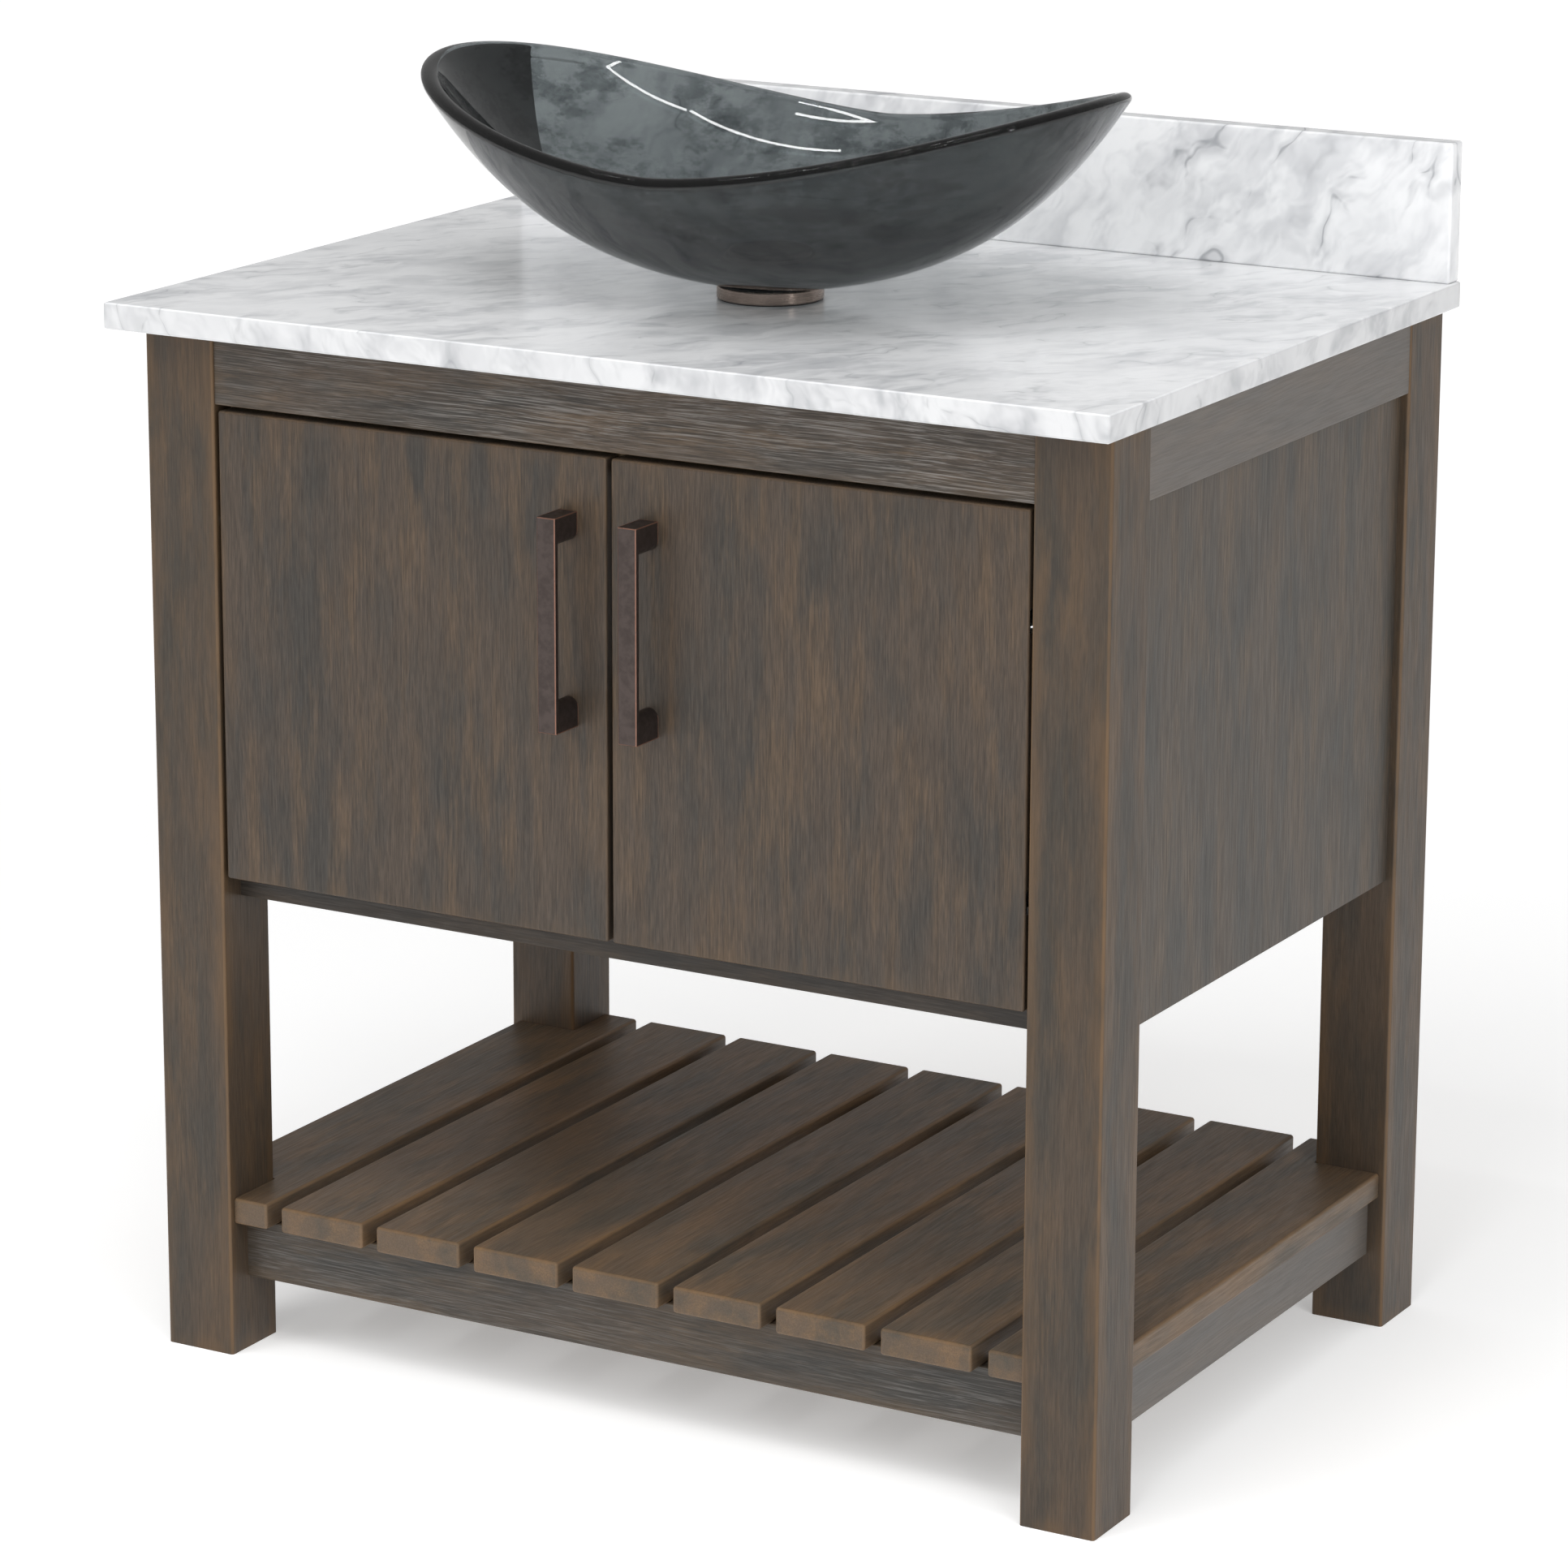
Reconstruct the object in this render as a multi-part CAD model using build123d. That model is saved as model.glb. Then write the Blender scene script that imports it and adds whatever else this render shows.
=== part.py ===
from build123d import *
import os

# Vessel sink on a two-door vanity, in millimetres.
# X runs along the countertop, +Y towards the wall, Z up from the floor.
# The origin is on the floor under the middle of the countertop.

INCH = 25.4

# How far a cutting shape runs past the face it cuts.
PAST = 1.0

# Countertop and backsplash.
TOP_LENGTH = 31 * INCH
TOP_DEPTH = 22.25 * INCH
TOP_THICK = 0.75 * INCH
SPLASH_HEIGHT = 4 * INCH
SPLASH_THICK = 18.0
SPLASH_INSET = 2.0
STONE_EASE = 1.8

# Cabinet shell.
CABINET_WIDTH = 30 * INCH
CABINET_HEIGHT = 30 * INCH
FRONT_OVERHANG = 1.25 * INCH
LEG = 2.25 * INCH
LEG_EASE = 2.5
RAIL_THICK = 19.0
RAIL_EASE = 1.2
FRONT_RAIL_BOTTOM = 709.0
FRONT_RAIL_RECESS = 2.5
SIDE_RAIL_BOTTOM = 707.0
SIDE_RAIL_RECESS = 1.0
PANEL_THICK = 12.0
PANEL_RECESS = 7.0
CASE_BOTTOM = 345.0
CASE_FLOOR = 363.0
STOP_RECESS = 22.0
STOP_TOP_HEIGHT = 19.0
LOWER_RAIL_TOP = 385.0
BACK_RAIL_INSET = 3.5
CLEAT = 19.0
PLUMBING_WIDTH = 320.0
PLUMBING_BOTTOM = 430.0
PLUMBING_TOP = 650.0

# Doors, their handles and their hinges.
DOOR_THICK = 18.0
DOOR_RECESS = 1.5
DOOR_BOTTOM = 363.5
DOOR_TOP = 705.3
DOOR_SIDE_GAP = 2.65
DOOR_MIDDLE_GAP = 4.0
DOOR_EASE = 2.0
DOOR_SCREW_GAP = 0.2
HANDLE_X = 32.0
HANDLE_BOTTOM = 515.0
HANDLE_LENGTH = 151.0
HANDLE_WIDTH = 14.5
HANDLE_REACH = 29.2
HANDLE_BAR_THICK = 4.0
HANDLE_EDGE = 0.7
HANDLE_POST_FLAT = 13.25
HANDLE_SCREW_SPACING = 128.0
HANDLE_SCREW_R = 2.0
HANDLE_THREAD_GAP = 0.05
HANDLE_SCREW_BITE = 12.0
HANDLE_SCREW_HEAD_R = 4.4
HANDLE_SCREW_HEAD_THICK = 2.0
BUMPER_R = 4.0
BUMPER_THICK = 2.4
BUMPER_X = 22.0
BUMPER_BELOW_DOOR_TOP = 7.0

# Hinges: a cup in the door, an arm on the leg and one pin between them.
HINGE_FROM_DOOR_END = 75.0
PIVOT_IN = 6.0
PIN_R = 2.0
PIN_PRESS_GAP = 0.01
RUNNING_GAP = 0.06
CUP_R = 17.4
CUP_DEPTH = 11.0
CUP_WALL = 1.0
CUP_FROM_EDGE = 28.0
CUP_FLANGE_THICK = 1.2
CUP_FLANGE_HALF_WIDTH = 7.0
CUP_FLANGE_HALF_HEIGHT = 30.0
CUP_FLANGE_CORNER = 6.0
CUP_SCREW_OFFSET = 24.0
CUP_SCREW_HEAD_R = 3.2
CUP_SCREW_LENGTH = 12.0
EAR_Z = 6.0
EAR_THICK = 2.0
EAR_R = 4.0
EAR_BACK = 5.0
MORTISE_GAP = 0.1
MORTISE_EAR_GAP = 0.3
MORTISE_REACH = 8.5
KNUCKLE_R = 3.8
KNUCKLE_GAP = 0.2
ARM_HALF_THICK = 1.5
ARM_REACH = 18.0
ARM_FOLD_THICK = 2.7
PLATE_THICK = 3.0
PLATE_END = 34.0
PLATE_HALF_HEIGHT = 22.0
PLATE_SCREW_IN = 25.0
PLATE_SCREW_OFFSET = 16.0
PLATE_SCREW_HEAD_R = 3.4
PLATE_SCREW_BITE = 14.0
PILOT_DEPTH = 16.0
HINGE_SCREW_R = 1.75
HINGE_SCREW_HOLE_R = 1.85
HINGE_SCREW_HEAD_THICK = 1.6

# Lower shelf.
SLAT_BOTTOM = 100.0
SLAT_THICK = 19.5
SLAT_WIDTH = 70.6
SLAT_GAP = 12.0
INNER_SLATS = 7
OUTER_SLAT_WIDTH = 80.0
SLAT_FRONT_RECESS = 5.2
SLAT_SIDE_RECESS = 5.5
SLAT_EASE = 2.5
SHELF_RAIL_BOTTOM = 55.0
SHELF_FRONT_RECESS = 21.5
SHELF_SIDE_RECESS = 13.7
NOTCH_GAP = 0.5

# Glass bowl: an oval dish whose rim rises towards its two ends.
BOWL_Y = -28.1
BOWL_HALF_LENGTH = 271.0
BOWL_BASE = 790.0
BOWL_TIP = 946.0
BOWL_RIM_LOW = 890.0
BOWL_SIDE_SCALE = 0.79
BOWL_INNER_SCALE = 0.783
BOWL_WALL = 12.0
BOWL_RIM_WALL = 14.0
BOWL_FOOT = 791.8
RIM_POWER = 1.55
DISH_SQUARE_PART = 0.65
DISH_STEEP_POWER = 4.5

# Waste fitting under and in the bowl.
RING_R = 38.1
RING_BORE_R = 24.0
RING_EASE = 1.0
SEAL_THICK = 0.8
SEAL_INSET = 1.5
SEAL_BORE_R = 25.0
DRAIN_HOLE_R = 22.5
FAUCET_HOLE_R = 17.5
FAUCET_Y = 212.0
DRAIN_R = 21.0
DRAIN_BORE_R = 17.0
DRAIN_BOTTOM = 706.0
FLANGE_R = 33.0
FLANGE_BOTTOM = 805.0
FLANGE_THICK = 2.4
FLANGE_EDGE = 1.2
FLANGE_SEAL_R = 32.0
PLUG_R = 30.0
PLUG_THICK = 5.0
PLUG_EASE = 3.5
PLUG_STEM_R = 4.0
PLUG_STEM_BELOW_HUB = 12.0
PLUG_LIFT_GAP = 0.4
HUB_LOW = 778.0
HUB_HIGH = 788.0
HUB_R = 6.5
SPOKE_HALF_THICK = 1.2
NUT_FLATS = 58.0
NUT_THICK = 12.0
NUT_THREAD_GAP = 0.1
WASHER_R = 34.0
WASHER_GAP = 0.3
WASHER_THICK = 4.0
TAIL_R = 15.875
TAIL_WALL = 1.5
TAIL_BOTTOM = 556.0
TAIL_LAP = 12.0
TAIL_THREAD_GAP = 0.05

# Places worked out from the sizes above.
TOP_Z = CABINET_HEIGHT + TOP_THICK
FRONT_Y = -TOP_DEPTH / 2
BACK_Y = TOP_DEPTH / 2
LEG_FRONT_Y = FRONT_Y + FRONT_OVERHANG
LEG_X = CABINET_WIDTH / 2
LEG_INNER_X = LEG_X - LEG
SIDE_FRONT_Y = LEG_FRONT_Y + LEG
SIDE_BACK_Y = BACK_Y - LEG
STOP_Y = LEG_FRONT_Y + STOP_RECESS
DOOR_FRONT_Y = LEG_FRONT_Y + DOOR_RECESS
DOOR_BACK_Y = DOOR_FRONT_Y + DOOR_THICK
DOOR_EDGE_X = LEG_INNER_X - DOOR_SIDE_GAP
PIVOT_X = DOOR_EDGE_X - PIVOT_IN
PIVOT_Y = DOOR_FRONT_Y + PIVOT_IN
CUP_X = DOOR_EDGE_X - CUP_FROM_EDGE
CUP_SCREW_SIDES = (-CUP_SCREW_OFFSET, CUP_SCREW_OFFSET)
HINGE_HEIGHTS = (DOOR_BOTTOM + HINGE_FROM_DOOR_END, DOOR_TOP - HINGE_FROM_DOOR_END)
PLATE_X = LEG_INNER_X - PLATE_THICK
PANEL_OUTER_X = LEG_X - PANEL_RECESS
PANEL_INNER_X = PANEL_OUTER_X - PANEL_THICK
BACK_RAIL_Y = BACK_Y - BACK_RAIL_INSET
BOWL_FLOOR = BOWL_BASE + BOWL_WALL
FLANGE_TOP = FLANGE_BOTTOM + FLANGE_THICK
HANDLE_FRONT_Y = DOOR_FRONT_Y - HANDLE_REACH
HANDLE_TOP = HANDLE_BOTTOM + HANDLE_LENGTH
HANDLE_BAR_BACK = HANDLE_FRONT_Y + HANDLE_BAR_THICK
HANDLE_SCREW_LOW = HANDLE_BOTTOM + (HANDLE_LENGTH - HANDLE_SCREW_SPACING) / 2
HANDLE_SCREW_HEIGHTS = (HANDLE_SCREW_LOW, HANDLE_SCREW_LOW + HANDLE_SCREW_SPACING)

nodes = {}


def block(x0, x1, y0, y1, z0, z1):
    """Plain box between two corners."""
    size = (abs(x1 - x0), abs(y1 - y0), abs(z1 - z0))
    centre = ((x0 + x1) / 2, (y0 + y1) / 2, (z0 + z1) / 2)
    return Pos(*centre) * Box(*size)


def eased_block(x0, x1, y0, y1, z0, z1, ease, axis=None):
    """Box with its edges rounded: all of them, or those along one axis."""
    part = block(x0, x1, y0, y1, z0, z1)
    edges = part.edges() if axis is None else part.edges().filter_by(axis)
    return fillet(edges, ease)


def upright(radius, x, y, z0, z1):
    """Cylinder standing on Z between two heights."""
    return Pos(x, y, (z0 + z1) / 2) * Cylinder(radius, z1 - z0)


def across(radius, x, z, y0, y1):
    """Cylinder lying along Y between two depths."""
    return Pos(x, (y0 + y1) / 2, z) * Rot(X=90) * Cylinder(radius, y1 - y0)


def sideways(radius, y, z, x0, x1):
    """Cylinder lying along X between two places."""
    return Pos((x0 + x1) / 2, y, z) * Rot(Y=90) * Cylinder(radius, x1 - x0)


def mirrored(part):
    """The same part on the other side of the cabinet."""
    return mirror(part, about=Plane.YZ)


def both_sides(name, part):
    """Keep a right-hand part and its left-hand mirror as two nodes."""
    nodes["right_" + name] = part
    nodes["left_" + name] = mirrored(part)


# ---------------------------------------------------------------- stone

def make_countertop():
    slab = eased_block(-TOP_LENGTH / 2, TOP_LENGTH / 2, FRONT_Y, BACK_Y,
                       CABINET_HEIGHT, TOP_Z, STONE_EASE)
    slab -= upright(DRAIN_HOLE_R, 0, BOWL_Y, CABINET_HEIGHT - PAST, TOP_Z + PAST)
    slab -= upright(FAUCET_HOLE_R, 0, FAUCET_Y, CABINET_HEIGHT - PAST, TOP_Z + PAST)
    nodes["marble_top"] = slab


def make_backsplash():
    end_x = TOP_LENGTH / 2 - SPLASH_INSET
    nodes["backsplash"] = eased_block(-end_x, end_x, BACK_Y - SPLASH_THICK, BACK_Y,
                                      TOP_Z, TOP_Z + SPLASH_HEIGHT, STONE_EASE)


# ---------------------------------------------------------------- bowl

def bowl_curve(share):
    """Height of the dish, from 0 to 1, at a share of its half length."""
    steep_part = 1 - DISH_SQUARE_PART
    return DISH_SQUARE_PART * share ** 2 + steep_part * share ** DISH_STEEP_POWER


def dish(half_length, base, side_scale, top_share):
    """Solid dish with an oval plan, wider than the rim needs."""
    rise = BOWL_TIP - base
    steps = 12
    shares = [top_share * step / steps for step in range(steps + 1)]
    points = [(half_length * share, 0, base + rise * bowl_curve(share)) for share in shares]
    wall = Spline(*points, tangents=[(1, 0, 0), (0.5, 0, 1)])
    lid = Line(points[-1], (0, 0, points[-1][2]))
    axis_line = Line((0, 0, points[-1][2]), points[0])
    section = make_face(Curve() + [wall, lid, axis_line])
    return scale(revolve(section, Axis.Z), by=(1, side_scale, 1))


def above_rim():
    """Everything over the curved rim, seen from the front as a long low smile."""
    reach = BOWL_HALF_LENGTH + 40
    high = BOWL_TIP + 90
    half_depth = 260
    steps = 14
    points = []
    for step in range(-steps, steps + 1):
        x = reach * step / steps
        climb = (BOWL_TIP - BOWL_RIM_LOW) * abs(x / BOWL_HALF_LENGTH) ** RIM_POWER
        points.append((x, 0, BOWL_RIM_LOW + climb))
    smile = Spline(*points)
    frame = Polyline(points[-1], (reach, 0, high), (-reach, 0, high), points[0])
    face = make_face(Curve() + [smile, frame])
    return extrude(face, amount=half_depth, dir=(0, 1, 0), both=True)


def make_bowl():
    """Glass dish with a thick wall, a flat foot and a drain hole."""
    inner_half = BOWL_HALF_LENGTH - BOWL_RIM_WALL
    outer = dish(BOWL_HALF_LENGTH, BOWL_BASE, BOWL_SIDE_SCALE, top_share=1.06)
    inner = dish(inner_half, BOWL_FLOOR, BOWL_INNER_SCALE, top_share=1.2)
    foot_half = 60
    bowl = outer - inner - above_rim()
    bowl -= block(-foot_half, foot_half, -foot_half, foot_half, BOWL_BASE - PAST, BOWL_FOOT)
    bowl = Pos(0, BOWL_Y, 0) * bowl
    bowl -= upright(DRAIN_HOLE_R, 0, BOWL_Y, BOWL_BASE - PAST, FLANGE_TOP)
    nodes["glass_bowl"] = bowl


# ---------------------------------------------------------------- waste fitting

def drain_post(radius, z0, z1):
    """Cylinder on the drain's axis."""
    return upright(radius, 0, BOWL_Y, z0, z1)


def drain_ring(outer, inner, z0, z1):
    """Ring on the drain's axis."""
    return drain_post(outer, z0, z1) - drain_post(inner, z0 - PAST, z1 + PAST)


def make_mounting_ring():
    low = TOP_Z + SEAL_THICK
    high = BOWL_FOOT - SEAL_THICK
    collar = drain_post(RING_R, low, high)
    collar = fillet(collar.edges().filter_by(GeomType.CIRCLE), RING_EASE)
    nodes["mounting_ring"] = collar - drain_post(RING_BORE_R, low - PAST, high + PAST)
    under = drain_ring(RING_R - SEAL_INSET, SEAL_BORE_R, TOP_Z, low)
    over = drain_ring(RING_R - SEAL_INSET, SEAL_BORE_R, high, BOWL_FOOT)
    nodes["mounting_ring_seals"] = Compound(children=[under, over])


def make_drain_body():
    """Flange, threaded tube and the spoked hub that guides the plug's stem."""
    seal = drain_ring(FLANGE_SEAL_R, DRAIN_HOLE_R, BOWL_FLOOR - 2, FLANGE_BOTTOM)
    nodes["drain_flange_seal"] = seal - nodes["glass_bowl"]
    flange = drain_post(FLANGE_R, FLANGE_BOTTOM, FLANGE_TOP)
    flange = chamfer(flange.edges().group_by(Axis.Z)[-1], FLANGE_EDGE)
    body = flange + drain_post(DRAIN_R, DRAIN_BOTTOM, FLANGE_BOTTOM + PAST)
    body -= drain_post(DRAIN_BORE_R, DRAIN_BOTTOM - PAST, FLANGE_TOP + PAST)
    reach = DRAIN_BORE_R + PAST
    half = SPOKE_HALF_THICK
    body += drain_post(HUB_R, HUB_LOW, HUB_HIGH)
    body += block(-reach, reach, BOWL_Y - half, BOWL_Y + half, HUB_LOW, HUB_HIGH)
    body += block(-half, half, BOWL_Y - reach, BOWL_Y + reach, HUB_LOW, HUB_HIGH)
    body -= drain_post(PLUG_STEM_R + RUNNING_GAP, HUB_LOW - PAST, HUB_HIGH + PAST)
    nodes["drain_body"] = body


def make_drain_plug():
    seat = FLANGE_TOP + PLUG_LIFT_GAP
    cap = drain_post(PLUG_R, seat, seat + PLUG_THICK)
    cap = fillet(cap.edges().group_by(Axis.Z)[-1], PLUG_EASE)
    cap += drain_post(PLUG_STEM_R, HUB_LOW - PLUG_STEM_BELOW_HUB, seat + PAST)
    nodes["drain_plug"] = cap


def make_drain_fixings():
    """Washer and nut under the stone, and the tail that hangs in the drain body."""
    washer_low = CABINET_HEIGHT - WASHER_THICK
    nodes["counter_seal"] = drain_ring(WASHER_R, DRAIN_R + WASHER_GAP, washer_low, CABINET_HEIGHT)
    nut_low = washer_low - NUT_THICK
    hexagon = extrude(RegularPolygon(NUT_FLATS / 2, 6, major_radius=False), NUT_THICK)
    nut = Pos(0, BOWL_Y, nut_low) * hexagon
    nut -= drain_post(DRAIN_R + NUT_THREAD_GAP, nut_low - PAST, washer_low + PAST)
    nodes["drain_lock_nut"] = nut
    joint_top = DRAIN_BOTTOM + TAIL_LAP
    tail = drain_post(TAIL_R, TAIL_BOTTOM, joint_top)
    tail += drain_post(DRAIN_BORE_R - TAIL_THREAD_GAP, DRAIN_BOTTOM, joint_top)
    tail -= drain_post(TAIL_R - TAIL_WALL, TAIL_BOTTOM - PAST, joint_top + PAST)
    nodes["tailpiece"] = tail


# ---------------------------------------------------------------- cabinet

def make_legs():
    """Four square legs; the front ones have pilot holes for the hinge plates' screws."""
    front = eased_block(LEG_INNER_X, LEG_X, LEG_FRONT_Y, SIDE_FRONT_Y, 0, CABINET_HEIGHT,
                        LEG_EASE, Axis.Z)
    for height in HINGE_HEIGHTS:
        for y, z in plate_screw_places(height):
            front -= sideways(HINGE_SCREW_HOLE_R, y, z, LEG_INNER_X - PAST,
                              LEG_INNER_X + PILOT_DEPTH)
    back = eased_block(LEG_INNER_X, LEG_X, SIDE_BACK_Y, BACK_Y, 0, CABINET_HEIGHT,
                       LEG_EASE, Axis.Z)
    nodes["front_right_leg"] = front
    nodes["front_left_leg"] = mirrored(front)
    nodes["back_right_leg"] = back
    nodes["back_left_leg"] = mirrored(back)


def make_top_rails():
    """Rails round the top of the cabinet and the cleats that carry the stone."""
    nodes["front_top_rail"] = eased_block(
        -LEG_INNER_X, LEG_INNER_X, LEG_FRONT_Y + FRONT_RAIL_RECESS, STOP_Y,
        FRONT_RAIL_BOTTOM, CABINET_HEIGHT, RAIL_EASE, Axis.X)
    nodes["back_top_rail"] = eased_block(
        -LEG_INNER_X, LEG_INNER_X, BACK_RAIL_Y - RAIL_THICK, BACK_RAIL_Y,
        SIDE_RAIL_BOTTOM, CABINET_HEIGHT, RAIL_EASE, Axis.X)
    outer = LEG_X - SIDE_RAIL_RECESS
    rail = eased_block(outer - RAIL_THICK, outer, SIDE_FRONT_Y, SIDE_BACK_Y,
                       SIDE_RAIL_BOTTOM, CABINET_HEIGHT, RAIL_EASE, Axis.Y)
    both_sides("top_rail", rail)
    cleat = block(outer - RAIL_THICK - CLEAT, outer - RAIL_THICK, SIDE_FRONT_Y, SIDE_BACK_Y,
                  CABINET_HEIGHT - CLEAT, CABINET_HEIGHT)
    both_sides("counter_cleat", cleat)


def make_case():
    """Door stop, lower rails, side panels, cleats, bottom panel and back panel."""
    nodes["upper_door_stop"] = block(
        -LEG_INNER_X, LEG_INNER_X, STOP_Y, STOP_Y + RAIL_THICK,
        FRONT_RAIL_BOTTOM - STOP_TOP_HEIGHT, CABINET_HEIGHT)
    nodes["bottom_front_rail"] = eased_block(
        -LEG_INNER_X, LEG_INNER_X, STOP_Y, STOP_Y + RAIL_THICK,
        CASE_BOTTOM, LOWER_RAIL_TOP, RAIL_EASE, Axis.X)
    nodes["bottom_back_rail"] = eased_block(
        -LEG_INNER_X, LEG_INNER_X, BACK_RAIL_Y - RAIL_THICK, BACK_RAIL_Y,
        CASE_BOTTOM, LOWER_RAIL_TOP, RAIL_EASE, Axis.X)
    panel = block(PANEL_INNER_X, PANEL_OUTER_X, SIDE_FRONT_Y, SIDE_BACK_Y,
                  CASE_BOTTOM, SIDE_RAIL_BOTTOM)
    both_sides("side_panel", panel)
    cleat = block(PANEL_INNER_X - CLEAT, PANEL_INNER_X, SIDE_FRONT_Y, SIDE_BACK_Y,
                  CASE_BOTTOM, CASE_FLOOR)
    both_sides("bottom_cleat", cleat)

    floor_top = CASE_FLOOR + PANEL_THICK
    floor = block(-LEG_INNER_X, LEG_INNER_X, STOP_Y + RAIL_THICK, BACK_RAIL_Y - RAIL_THICK,
                  CASE_FLOOR, floor_top)
    floor += block(-PANEL_INNER_X, PANEL_INNER_X, SIDE_FRONT_Y, SIDE_BACK_Y,
                   CASE_FLOOR, floor_top)
    nodes["bottom_panel"] = floor

    back_y = BACK_RAIL_Y - (RAIL_THICK + PANEL_THICK) / 2
    back = block(-LEG_INNER_X, LEG_INNER_X, back_y, back_y + PANEL_THICK,
                 LOWER_RAIL_TOP, SIDE_RAIL_BOTTOM)
    back -= block(-PLUMBING_WIDTH / 2, PLUMBING_WIDTH / 2, back_y - PAST,
                  back_y + PANEL_THICK + PAST, PLUMBING_BOTTOM, PLUMBING_TOP)
    nodes["back_panel"] = back


# ---------------------------------------------------------------- hinges

def plate_screw_places(height):
    """Y and Z of one hinge plate's two screws."""
    y = PIVOT_Y + PLATE_SCREW_IN
    return [(y, height + PLATE_SCREW_OFFSET), (y, height - PLATE_SCREW_OFFSET)]


def hinge_mortise(height):
    """What is cut from the right door for one hinge."""
    past_back = DOOR_BACK_Y + PAST
    cut = across(CUP_R + MORTISE_GAP, CUP_X, height,
                 DOOR_BACK_Y - CUP_DEPTH - MORTISE_GAP, past_back)
    reach = EAR_Z + EAR_THICK + MORTISE_EAR_GAP
    cut += block(PIVOT_X - MORTISE_REACH, DOOR_EDGE_X + PAST,
                 PIVOT_Y - EAR_R - MORTISE_EAR_GAP, past_back, height - reach, height + reach)
    for side in CUP_SCREW_SIDES:
        cut += across(HINGE_SCREW_HOLE_R, CUP_X, height + side,
                      DOOR_BACK_Y - CUP_SCREW_LENGTH, past_back)
    return cut


def hinge_cup(height):
    """Cup, flange and the two ears that hold the pin."""
    floor_y = DOOR_BACK_Y - CUP_DEPTH
    flange_y = DOOR_BACK_Y + CUP_FLANGE_THICK
    flange = block(CUP_X - CUP_FLANGE_HALF_WIDTH, CUP_X + CUP_FLANGE_HALF_WIDTH,
                   DOOR_BACK_Y, flange_y,
                   height - CUP_FLANGE_HALF_HEIGHT, height + CUP_FLANGE_HALF_HEIGHT)
    flange = fillet(flange.edges().filter_by(Axis.Y), CUP_FLANGE_CORNER)
    cup = flange + across(CUP_R, CUP_X, height, floor_y, flange_y)
    for low in (height - EAR_Z - EAR_THICK, height + EAR_Z):
        high = low + EAR_THICK
        cup += upright(EAR_R, PIVOT_X, PIVOT_Y, low, high)
        cup += block(PIVOT_X - 2 * EAR_R, PIVOT_X, PIVOT_Y - EAR_R, PIVOT_Y + EAR_BACK, low, high)
    cup -= across(CUP_R - CUP_WALL, CUP_X, height, floor_y + CUP_WALL, flange_y + PAST)
    reach = EAR_Z + EAR_THICK + PAST
    cup -= upright(PIN_R + PIN_PRESS_GAP, PIVOT_X, PIVOT_Y, height - reach, height + reach)
    for side in CUP_SCREW_SIDES:
        cup -= across(HINGE_SCREW_HOLE_R, CUP_X, height + side, DOOR_BACK_Y - PAST,
                      flange_y + PAST)
    return cup


def hinge_arm(height):
    """Knuckle on the pin, arm, and the plate on the leg's inner face."""
    low = height - EAR_Z + KNUCKLE_GAP
    high = height + EAR_Z - KNUCKLE_GAP
    arm_x = PIVOT_X - ARM_HALF_THICK
    arm_end = PIVOT_Y + ARM_REACH
    fold = arm_end - ARM_FOLD_THICK
    arm = upright(KNUCKLE_R, PIVOT_X, PIVOT_Y, low, high)
    arm += block(arm_x, PIVOT_X + ARM_HALF_THICK, PIVOT_Y, arm_end, low, high)
    arm += block(arm_x, PLATE_X + PAST, fold, arm_end, low, high)
    arm += block(PLATE_X, LEG_INNER_X, fold, PIVOT_Y + PLATE_END,
                 height - PLATE_HALF_HEIGHT, height + PLATE_HALF_HEIGHT)
    arm -= upright(PIN_R + RUNNING_GAP, PIVOT_X, PIVOT_Y, low - PAST, high + PAST)
    for y, z in plate_screw_places(height):
        arm -= sideways(HINGE_SCREW_HOLE_R, y, z, PLATE_X - PAST, LEG_INNER_X + PAST)
    return arm


def cup_screw(height):
    head_y = DOOR_BACK_Y + CUP_FLANGE_THICK
    screw = across(CUP_SCREW_HEAD_R, CUP_X, height, head_y, head_y + HINGE_SCREW_HEAD_THICK)
    return screw + across(HINGE_SCREW_R, CUP_X, height, head_y - CUP_SCREW_LENGTH, head_y + PAST)


def plate_screw(y, z):
    screw = sideways(PLATE_SCREW_HEAD_R, y, z, PLATE_X - HINGE_SCREW_HEAD_THICK, PLATE_X)
    return screw + sideways(HINGE_SCREW_R, y, z, PLATE_X - PAST, LEG_INNER_X + PLATE_SCREW_BITE)


def make_hinges():
    cups = []
    pins = []
    arms = []
    cup_screws = []
    plate_screws = []
    pin_reach = EAR_Z + EAR_THICK
    for height in HINGE_HEIGHTS:
        cups.append(hinge_cup(height))
        pins.append(upright(PIN_R, PIVOT_X, PIVOT_Y, height - pin_reach, height + pin_reach))
        arms.append(hinge_arm(height))
        cup_screws += [cup_screw(height + side) for side in CUP_SCREW_SIDES]
        plate_screws += [plate_screw(y, z) for y, z in plate_screw_places(height)]
    both_sides("hinge_cups", Compound(children=cups))
    both_sides("hinge_pins", Compound(children=pins))
    both_sides("hinge_arms", Compound(children=arms))
    both_sides("hinge_cup_screws", Compound(children=cup_screws))
    others = [mirrored(screw) for screw in plate_screws]
    nodes["hinge_plate_screws"] = Compound(children=plate_screws + others)


# ---------------------------------------------------------------- doors and handles

def make_doors():
    door = eased_block(DOOR_MIDDLE_GAP / 2, DOOR_EDGE_X, DOOR_FRONT_Y, DOOR_BACK_Y,
                       DOOR_BOTTOM, DOOR_TOP, DOOR_EASE)
    for height in HINGE_HEIGHTS:
        door -= hinge_mortise(height)
    for height in HANDLE_SCREW_HEIGHTS:
        door -= across(HANDLE_SCREW_R + DOOR_SCREW_GAP, HANDLE_X, height, DOOR_FRONT_Y - PAST,
                       DOOR_BACK_Y + PAST)
    both_sides("door", door)


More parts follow.
